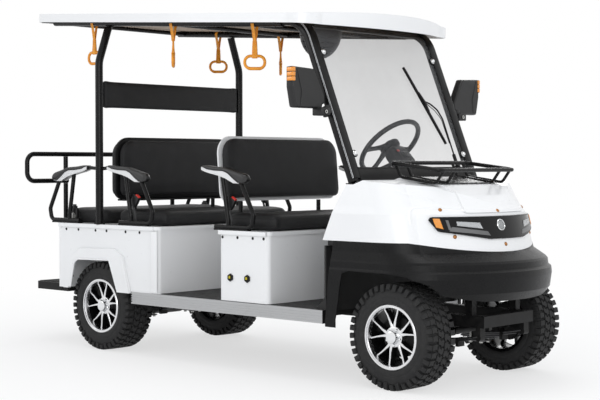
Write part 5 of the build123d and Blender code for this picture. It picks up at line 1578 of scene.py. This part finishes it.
def make_pillars():
    """Pillars with their borders, the sill, foot and head bars, the gasket and two base plates."""
    parts = []
    for side in (1, -1):
        y = side * PILLAR_Y
        parts.append(swept("pillar", at_y(pillar_path(0.0), y), slab_section(0.044, 0.050, 0.017, 4), gloss_black))
        border = at_y(pillar_path(0.0275, -3, 0.015), side * 0.521)
        parts.append(swept("border", border, slab_section(0.060, 0.0045, 0.0018, 2), satin_black))
        # Two pale beads along the glass edge: painted highlight lines.
        for radius, off in ((0.0013, 0.0275), (0.0011, 0.0215)):
            parts.append(swept("edge", at_y(pillar_path(off, -3, 0.015), side * 0.5512), disc_section(radius, 8),
                               painted_edge_highlight))
    low = FOOT + RISE * 0.035 + FACE * 0.0275
    parts.append(swept("sill", beside(low, -0.50, -0.25, 0, 0.25, 0.50), slab_section(0.0045, 0.070, 0.0018, 2),
                       satin_black, up=RISE))
    foot = FOOT + RISE * 0.022 - FACE * 0.004
    parts.append(tube("foot", beside(foot, -0.52, 0.52), 0.022, gloss_black, sides=20))
    parts.append(swept("gasket", beside(low + RISE * 0.036, -0.492, 0.492), disc_section(0.0045, 8), rubber))
    for side in (1, -1):
        parts.append(boxed("base", (1.028, -0.026 + side * PILLAR_Y, 1.0525), (1.0885, 0.026 + side * PILLAR_Y, 1.0585),
                           gloss_black, 0.002))
    top = pillar_path(0.0)[-5]
    parts.append(tube("head", [(top.x, y, top.z - 0.002) for y in (-0.52, 0.52)], 0.022, gloss_black, sides=20))
    return joined("pillars", *parts)


belongs(rounded(make_pillars(), 40.0), "chassis", "gloss_black", "windshield_frame")


def sheet(name, outer, inner, half, material):
    """Sheet between two side lines, as wide as twice the half."""
    rings = [[Vector((a.x, half, a.z)), Vector((a.x, -half, a.z)), Vector((b.x, -half, b.z)), Vector((b.x, half, b.z))]
             for a, b in zip(outer, inner)]
    return rounded(hull_of(name, rings, material), 30.0)


belongs(sheet("screen", pillar_path(GLASS_OFF, -5, 0.05), pillar_path(GLASS_OFF - 0.004, -5, 0.05), 0.5025, glass),
        "chassis", "window_glass", "windshield_glass")
belongs(sheet("visor", pillar_path(0.0165)[8:16], pillar_path(0.0115)[8:16], 0.5, smoked), "chassis", "black_trim")


def make_clamp():
    """Knob on a collar that holds the glass."""
    button = lathed("button", [(0.0, 0.0), (0.0, 0.0165), (0.003, 0.0165), (0.006, 0.0125), (0.010, 0.0115),
                               (0.0125, 0.009), (0.0135, 0.0)], chrome, 24)
    collar = lathed("collar", [(-0.004, 0.0), (-0.004, 0.020), (0.002, 0.020), (0.0035, 0.0175), (0.0035, 0.0)],
                    satin_black, 24)
    return placed(joined("clamp", button, collar), turned(90, "X"))


clamps = []
for y in (-0.482, 0.482):
    for z in (1.752, 1.204):
        level = FOOT + RISE * ((z - FOOT.z) / RISE.z) + FACE * 0.0285
        clamps.append(placed(make_clamp(), moved(level.x, y, level.z) @ aimed(FACE, "Z", "X")))
assembled("glass_clamps", clamps, 35.0, "black_trim")


# ---- wiper ----
def on_glass(y, z, off):
    """Point off the glass at a place across and a height."""
    level = FOOT + RISE * ((z - FOOT.z) / RISE.z) + FACE * (GLASS_OFF + off)
    return Vector((level.x, y, level.z))


def make_wiper():
    """Blade with its lip and ribs, a pair of arms and a pivot cap."""
    top_y, top_z, low_y, low_z = 0.178, 1.700, 0.348, 1.262
    blade = []
    sizes = []
    for step in range(25):
        share = step / 24
        blade.append(on_glass(top_y + (low_y - top_y) * share, top_z + (low_z - top_z) * share, 0.010))
        sizes.append((0.45 + 0.55 * math.sin(math.pi * share) ** 0.6, 1.0))
    parts = [swept("blade", blade, slab_section(0.019, 0.011, 0.003, 2), satin_black, up=FACE, sizes=sizes)]
    lip = [p - FACE * 0.0062 for p in blade]
    parts.append(swept("lip", lip, slab_section(0.005, 0.007, 0.001, 1), rubber, up=FACE))
    rib = boxed("rib", (-0.011, -0.0012, -0.002), (0.011, 0.0012, 0.0072), gloss_black, 0.0005, 1)
    run = blade[-2] - blade[1]
    ribs = row_of("ribs", rib, 34, (0.0, run.length / 33, 0.0), gloss_black)
    parts.append(placed(ribs, moved(*blade[1]) @ aimed(run, "Y", "Z")))
    middle = blade[11]
    parts.append(swept("saddle", [blade[8] + FACE * 0.006, middle + FACE * 0.012, blade[14] + FACE * 0.006],
                       slab_section(0.014, 0.008, 0.003, 2), gloss_black, up=FACE))
    pivot = on_glass(0.372, 1.128, 0.020)
    arm = [pivot, on_glass(0.371, 1.20, 0.022), on_glass(0.3685, 1.40, 0.026), on_glass(0.345, 1.452, 0.026),
           on_glass(0.300, 1.485, 0.024), middle + FACE * 0.012]
    parts.append(swept("arm", bent_path(arm, 0.05, 4), slab_section(0.009, 0.007, 0.0025, 2), gloss_black, up=FACE))
    twin = [on_glass(0.3625, 1.26, 0.022), on_glass(0.3585, 1.40, 0.024), on_glass(0.322, 1.447, 0.024),
            middle + FACE * 0.009]
    parts.append(swept("twin", bent_path(twin, 0.04, 4), disc_section(0.0022, 8), satin_black))
    parts.append(swept("heel", [pivot - RISE * 0.008, pivot + RISE * 0.075], slab_section(0.020, 0.014, 0.004, 2),
                       gloss_black, up=FACE))
    cap = lathed("cap", [(-0.020, 0.0), (-0.020, 0.012), (0.010, 0.012), (0.014, 0.009), (0.015, 0.0)], gloss_black, 20)
    parts.append(placed(cap, moved(*pivot) @ aimed(FACE, "Y", "Z")))
    return joined("dressed_wiper", *parts)


belongs(rounded(make_wiper(), 40.0), "chassis", "black_trim", "wiper")


# ---------------------------------------------------------------- finishes of the solid parts
def dress(material, *names):
    """Gives the frame's own solids a material."""
    for name in names:
        node = nodes[name]
        if not node.material_slots:
            node.data.materials.append(material)
        for slot in node.material_slots:
            slot.material = material


dress(white, "rear_body", "seat_box", "cowl", "canopy")
dress(bumper_black, "front_bumper")
dress(gloss_black, "armrest_frames", "grab_rail", "rear_posts", "roof_rails", "seat_posts", "cargo_basket",
      "windshield_frame", "wiper")
dress(satin_black, "footrest", "charge_ports")
dress(steel_black, "chassis_frame", "front_suspension", "rear_suspension", "knuckle_left", "knuckle_right")
dress(dash_black, "dashboard", "driver_controls")
dress(gloss_black, "lamp_band")
dress(grip_black, "steering_wheel")
dress(mirror_grey, "mirrors", "roof_dome")
dress(case_grey, "battery_block")
dress(mat_rubber, "floor_panel")
dress(sill_metal, "side_sills")
dress(glass, "windshield_glass")
dress(clear_glass, "lamp_lenses")
dress(amber_glass, "indicator_lenses")
dress(red_glass, "tail_lamps")
dress(orange, "grab_straps")
dress(tan, "canopy_lining")
dress(belt_weave, "seat_belts")


# ---------------------------------------------------------------- fasteners
def dome_screw(radius, height):
    """Low domed head with a cross recess."""
    profile = [(0.0, 0.0), (0.0, radius), (height * 0.45, radius * 0.92), (height * 0.85, radius * 0.6), (height, 0.0)]
    head = lathed("screw", profile, brass, 16)
    return placed(head, turned(90, "X"))


def screws(name, node, places, radius, height, material, slot):
    """Screws where rays meet a node."""
    found = [on_surface(node, start, direction) for start, direction in places]
    piece = set_on(name, dome_screw(radius, height), [(p, n) for p, n in found if p], material)
    return belongs(piece, "chassis", slot)


nose_places = ((-0.371, 0.924), (-0.034, 0.916), (-0.341, 0.787), (-0.030, 0.742), (0.371, 0.924), (0.341, 0.787))
screws("nose_screws", "cowl", [((3.0, y, z), (-1, 0, 0)) for y, z in nose_places], 0.011, 0.006, brass, "black_trim")


# ---- roof dome and canopy trim ----
def dome_point(degrees):
    """(height, radius) on the dome's skin."""
    angle = math.radians(degrees)
    return 0.045 + 0.16 * math.sin(angle), 0.122 * math.cos(angle)


def dome_rib(degrees):
    height, radius = dome_point(degrees)
    profile = [(height - 0.001, radius), (height + 0.0012, radius + 0.0012), dome_point(degrees + 2)]
    return lathed("grille", profile, gloss_black, 48, close=True)


dome = lathed("dome", [(0.0, 0.0), (0.0, 0.122)] + [dome_point(a) for a in range(0, 91, 10)], dome_grey, 48)
ring = lathed("ring", [(0.0, 0.118), (0.0, 0.136), (0.010, 0.136), (0.016, 0.130), (0.016, 0.118)], gloss_black, 48,
              close=True)
dome = joined("dressed_dome", dome, ring, *[dome_rib(a) for a in range(12, 85, 12)])
placed(dome, moved(0.474, -0.130, 1.966) @ Matrix.Rotation(math.atan(ROOF_SLOPE), 4, "Y") @ turned(-90, "X"))
belongs(rounded(dome, 35.0), "chassis", "black_trim", "roof_dome")


def canopy_base(x):
    """Height of the canopy's lower edge."""
    return 2.0694 - ROOF_SLOPE * (x + 1.526)


strips = []
for side in (1, -1):
    run = [Vector((x, side * 0.6625, canopy_base(x) - 0.0015)) for x in (-1.44, -0.9, -0.4, 0.1, 0.62)]
    strips.append(swept("strip", run, slab_section(0.010, 0.009, 0.003, 2), rubber))
assembled("canopy_seals", strips, 40.0, "black_trim")


# ---- rear box and seat box trim ----
BOX_SIDE_Y = 0.6195
OPENING = ((-1.2195, 0.384), (-1.181, 0.541), (-1.142, 0.5635), (-0.816, 0.5705), (-0.7785, 0.5475), (-0.734, 0.384))
BORDER = ((-1.280, 0.384), (-1.214, 0.572), (-1.135, 0.633), (-0.782, 0.642), (-0.708, 0.598), (-0.641, 0.384))


def arch_line(places, y, bend):
    """Line round the wheel opening through (x, z) places."""
    return bent_path([Vector((x, y, z)) for x, z in places], bend, 8)


def arch_bead(side):
    """Rolled edge round the wheel opening."""
    return swept("bead", arch_line(OPENING, side * 0.6205, 0.05), disc_section(0.0072, 12), white, up=(0, 1, 0))


def arch_flare(side):
    """Raised flare with a rounded crest, from the opening out to its border."""
    steps = ((0.0, 0.616), (0.06, 0.6245), (0.14, 0.6275), (0.5, 0.6278), (0.8, 0.6265), (0.93, 0.6225), (1.0, 0.6165),
             (1.0, 0.612), (0.0, 0.612))
    rings = [[Vector((p.x, side * y, p.z)) for p, y in ((a.lerp(b, share), y) for share, y in steps)]
             for a, b in zip(arch_line(OPENING, 0, 0.05), arch_line(BORDER, 0, 0.06))]
    return rounded(hull_of("flare", rings, white), 50.0)


trim = []
for side in (1, -1):
    trim += [arch_bead(side), arch_flare(side)]
    y = side * BOX_SIDE_Y
    trim += [swept("rail", [(start, y, 0.7725), (end, y, 0.7725)], slab_section(0.012, 0.026, 0.0055, 4), white)
             for start, end in ((-1.335, -0.425), (0.135, 0.508))]
    trim.append(boxed("pilaster", (-0.448, y - 0.004, 0.392), (-0.392, y + 0.004, 0.757), white, 0.0038, 3))
assembled("box_mouldings", trim, 45.0, "white_body")

LINER_X = -1.2735
liners = [boxed("liner", (LINER_X - 0.006, low, 0.40), (LINER_X, high, 0.59), raw_moulding, 0.001)
          for low, high in ((0.40, 0.60), (-0.60, -0.40))]
belongs(joined("arch_liners", *liners), "chassis", "white_body")

for node, spots in (("rear_body", (-1.269, -1.147, -0.978, -0.871, -0.690, -0.561)),
                    ("seat_box", (0.156, 0.276, 0.396, 0.480))):
    places = [((x, side * 2.0, 0.7465), (0, -side, 0)) for side in (1, -1) for x in spots]
    screws("lip_screws_" + node, node, places, 0.0085, 0.004, satin_black, "black_trim")
places = [((LINER_X, side * 0.56, z), Vector((1, 0, 0))) for side in (1, -1) for z in (0.445, 0.565)]
belongs(set_on("arch_bolts", dome_screw(0.009, 0.005), places, satin_black), "chassis", "black_trim")


# ---- charge ports ----
def make_port(x):
    """Hexagon-flanged socket with a bright key inside."""
    hexagon = lathed("flange", [(0.0, 0.0), (0.0, 0.0225), (0.0065, 0.0225), (0.0085, 0.0205), (0.0085, 0.0145),
                                (0.004, 0.0135), (0.004, 0.0)], gloss_black, 6)
    key = stacked("key", ((0.0, 0.009, 0.015), (0.005, 0.009, 0.015), (0.0056, 0.008, 0.014)),
                  key_yellow, 0.3, 3)
    placed(key, moved(0.003, 0.0042, 0.002) @ turned(-90, "X"))
    return placed(joined("port", hexagon, key), moved(x, -0.6105, 0.520) @ turned(180, "Z"))


assembled("dressed_ports", [make_port(x) for x in (0.2215, 0.3555)], 35.0, "black_trim", "charge_ports")


# ---- springs and dampers ----
LEAF_REACH = 0.285
LEAF_BOW = 0.034


def make_spring(axle_x):
    """Curved leaf pack with its clips, centre plate and U-bolts."""
    parts = []
    middle = AXLE_Z - 0.052
    for number in range(4):
        reach = LEAF_REACH - 0.058 * number
        level = middle - 0.0095 * number + 0.012
        path = [Vector((axle_x + reach * share, 0, level + LEAF_BOW * (share * reach / LEAF_REACH) ** 2))
                for share in (-1 + 2 * step / 12 for step in range(13))]
        parts.append(swept("leaf", path, slab_section(0.048, 0.0075, 0.0015, 1), spring_steel))
    for x in (-0.16, 0.16):
        z = middle + LEAF_BOW * (x / LEAF_REACH) ** 2
        parts.append(boxed("clip", (axle_x + x - 0.010, -0.028, z - 0.026), (axle_x + x + 0.010, 0.028, z + 0.021),
                           steel_black, 0.002))
    for x in (-0.035, 0.035):
        bolt = bent_path([(axle_x + x, y, z) for y, z in ((-0.033, middle - 0.042), (-0.033, 0.318), (0.033, 0.318),
                                                          (0.033, middle - 0.042))], 0.022, 5)
        parts.append(swept("u_bolt", bolt, disc_section(0.0055, 8), zinc))
        for y in (-0.033, 0.033):
            nut = placed(lathed("nut", [(0, 0), (0, 0.010), (0.009, 0.010), (0.009, 0)], zinc, 6),
                         moved(axle_x + x, y, middle - 0.036) @ turned(-90, "X"))
            parts.append(nut)
    parts.append(boxed("plate", (axle_x - 0.055, -0.042, middle - 0.036), (axle_x + 0.055, 0.042, middle - 0.028),
                       spring_steel, 0.002))
    return joined("spring", *parts)


def make_damper(axle_x, lean):
    """Telescopic damper: dust tube above, body below, eye at each end."""
    low = Vector((axle_x + 0.07 * lean, 0, 0.235))
    high = Vector((axle_x + 0.15 * lean, 0, 0.500))
    run = high - low
    parts = [tube("body", [low + run * 0.06, low + run * 0.55], 0.017, zinc, sides=20),
             tube("dust", [low + run * 0.48, low + run * 0.92], 0.021, steel_black, sides=20),
             tube("rod", [low, high], 0.007, zinc, sides=12)]
    for end in (low, high):
        parts.append(tube("eye", beside(end, -0.016, 0.016), 0.016, steel_black, sides=20))
    return joined("damper", *parts)


gear = []
for axle_x, lean in ((FRONT_AXLE_X, -1), (REAR_AXLE_X, 1)):
    for side in (1, -1):
        gear.append(placed(make_spring(axle_x), moved(0, side * 0.200, 0)))
        gear.append(placed(make_damper(axle_x, lean), moved(0, side * 0.256, 0)))
assembled("springs_and_dampers", gear, 40.0, "black_steel")


# ---- sills and footrest ----
caps = [boxed("cap", (x - 0.002, low, 0.314), (x + 0.002, high, 0.386), satin_black, 0.0015)
        for low, high in ((0.5865, 0.6175), (-0.6175, -0.5865)) for x in (-0.6322, 0.9202)]
belongs(joined("sill_caps", *caps), "chassis", "black_trim")
tread = row_of("tread", boxed("bar", (-1.790, -0.432, 0.3755), (-1.776, 0.432, 0.3795), rubber, 0.0015), 12,
               (0.0225, 0, 0), rubber)
belongs(tread, "chassis", "black_trim")
frames = []
for side in (1, -1):
    y = side * 0.52
    frames.append(swept("bezel", soft_outline([(-1.3745, y - 0.034, 0.577), (-1.3745, y + 0.034, 0.577),
                                               (-1.3745, y + 0.034, 0.703), (-1.3745, y - 0.034, 0.703)], 0.008),
                        disc_section(0.004, 8), chrome, closed=True, up=(1, 0, 0)))
assembled("tail_bezels", frames, 40.0, "black_trim")


# ---------------------------------------------------------------- studio
def studio():
    """Even surroundings, plain white to the camera, through glass and in reflections."""
    world = bpy.context.scene.world or bpy.data.worlds.new("studio")
    bpy.context.scene.world = world
    world.use_nodes = True
    tree = world.node_tree
    tree.nodes.clear()
    ray = tree_node(tree, "ShaderNodeLightPath").outputs
    light = tree_node(tree, "ShaderNodeBackground", {"Color": (0.95, 0.97, 1.0, 1), "Strength": 0.86})
    seen = tree_node(tree, "ShaderNodeBackground", {"Color": (1, 1, 1, 1), "Strength": 1.0})
    clear = tree_node(tree, "ShaderNodeMath", {0: ray["Is Camera Ray"], 1: ray["Is Transmission Ray"]},
                      operation="MAXIMUM")
    shiny = tree_node(tree, "ShaderNodeMath", {0: clear.outputs[0], 1: ray["Is Glossy Ray"]}, operation="MAXIMUM")
    mix = tree_node(tree, "ShaderNodeMixShader", {0: shiny.outputs[0], 1: light.outputs[0], 2: seen.outputs[0]})
    tree_node(tree, "ShaderNodeOutputWorld", {"Surface": mix.outputs[0]})


def softbox(name, place, target, size, power):
    """Rectangular lamp aimed at a target."""
    data = bpy.data.lights.new(name, "AREA")
    data.shape = "RECTANGLE"
    data.size, data.size_y = size
    data.energy = power
    lamp = link(bpy.data.objects.new(name, data))
    lamp.location = place
    lamp.rotation_euler = (Vector(target) - Vector(place)).to_track_quat("-Z", "Y").to_euler()


def floor():
    """White floor that glows to the camera, less so near the cart, where its shade shows."""
    size = 60.0
    piece = piece_of("studio_floor", [(-size, -size, 0), (size, -size, 0), (size, size, 0), (-size, size, 0)],
                     [(0, 1, 2, 3)])
    finish = Finish("floor_paint", (0.9, 0.9, 0.9), 0.9)
    tree = finish.tree
    ray = tree_node(tree, "ShaderNodeLightPath").outputs
    glow = tree_node(tree, "ShaderNodeEmission", {"Color": (1, 1, 1, 1), "Strength": 1.0})
    reach = finish.node("ShaderNodeVectorMath", {"operation": "LENGTH"}, {0: finish.place}, "Value")
    away = finish.node("ShaderNodeMapRange", {}, {"Value": reach, "From Min": 1.9, "From Max": 5.0})
    seen = finish.node("ShaderNodeMath", {"operation": "MAXIMUM"},
                       {0: Value(finish, ray["Is Camera Ray"]), 1: Value(finish, ray["Is Transmission Ray"])})
    share = seen * (away * 0.36 + 0.64)
    share = share + Value(finish, ray["Is Glossy Ray"]) * (1 - share) * 0.5
    mix = tree_node(tree, "ShaderNodeMixShader", {0: share.socket, 1: finish.shader.outputs[0], 2: glow.outputs[0]})
    tree.links.new(mix.outputs[0], tree.nodes["Material Output"].inputs["Surface"])
    piece.data.materials.append(finish.material)


CAMERA_PLACE = (5.7785, -6.0465, 1.1613)
CAMERA_LENS = 82.92
CAMERA_TURN = 47.246
CAMERA_PITCH = 1.512


def camera():
    """Camera ahead and to the right of the cart, nearly level."""
    data = bpy.data.cameras.new("camera")
    data.sensor_width = 36.0
    data.lens = CAMERA_LENS
    data.clip_end = 200.0
    view = link(bpy.data.objects.new("camera", data))
    view.location = CAMERA_PLACE
    turn = math.radians(CAMERA_TURN)
    pitch = math.radians(CAMERA_PITCH)
    direction = Vector((-math.cos(turn) * math.cos(pitch), math.sin(turn) * math.cos(pitch), -math.sin(pitch)))
    view.rotation_euler = direction.to_track_quat("-Z", "Y").to_euler()
    bpy.context.scene.camera = view


studio()
floor()
camera()
softbox("overhead", (0.3, -0.3, 5.2), (0.2, 0, 0.8), (3.2, 2.4), 52)
softbox("key", (4.6, -4.8, 2.4), (0.0, 0, 0.6), (3.2, 2.2), 74)
softbox("fill", (-3.4, -5.0, 2.6), (-0.2, 0, 0.8), (2.2, 1.2), 14)
softbox("rim", (-2.5, 5.0, 3.2), (0.3, 0, 1.2), (2.4, 1.2), 44)
softbox("nose", (5.0, 0.2, 3.0), (1.5, 0, 0.7), (1.3, 0.3), 8)

bpy.context.scene.view_settings.view_transform = "Standard"
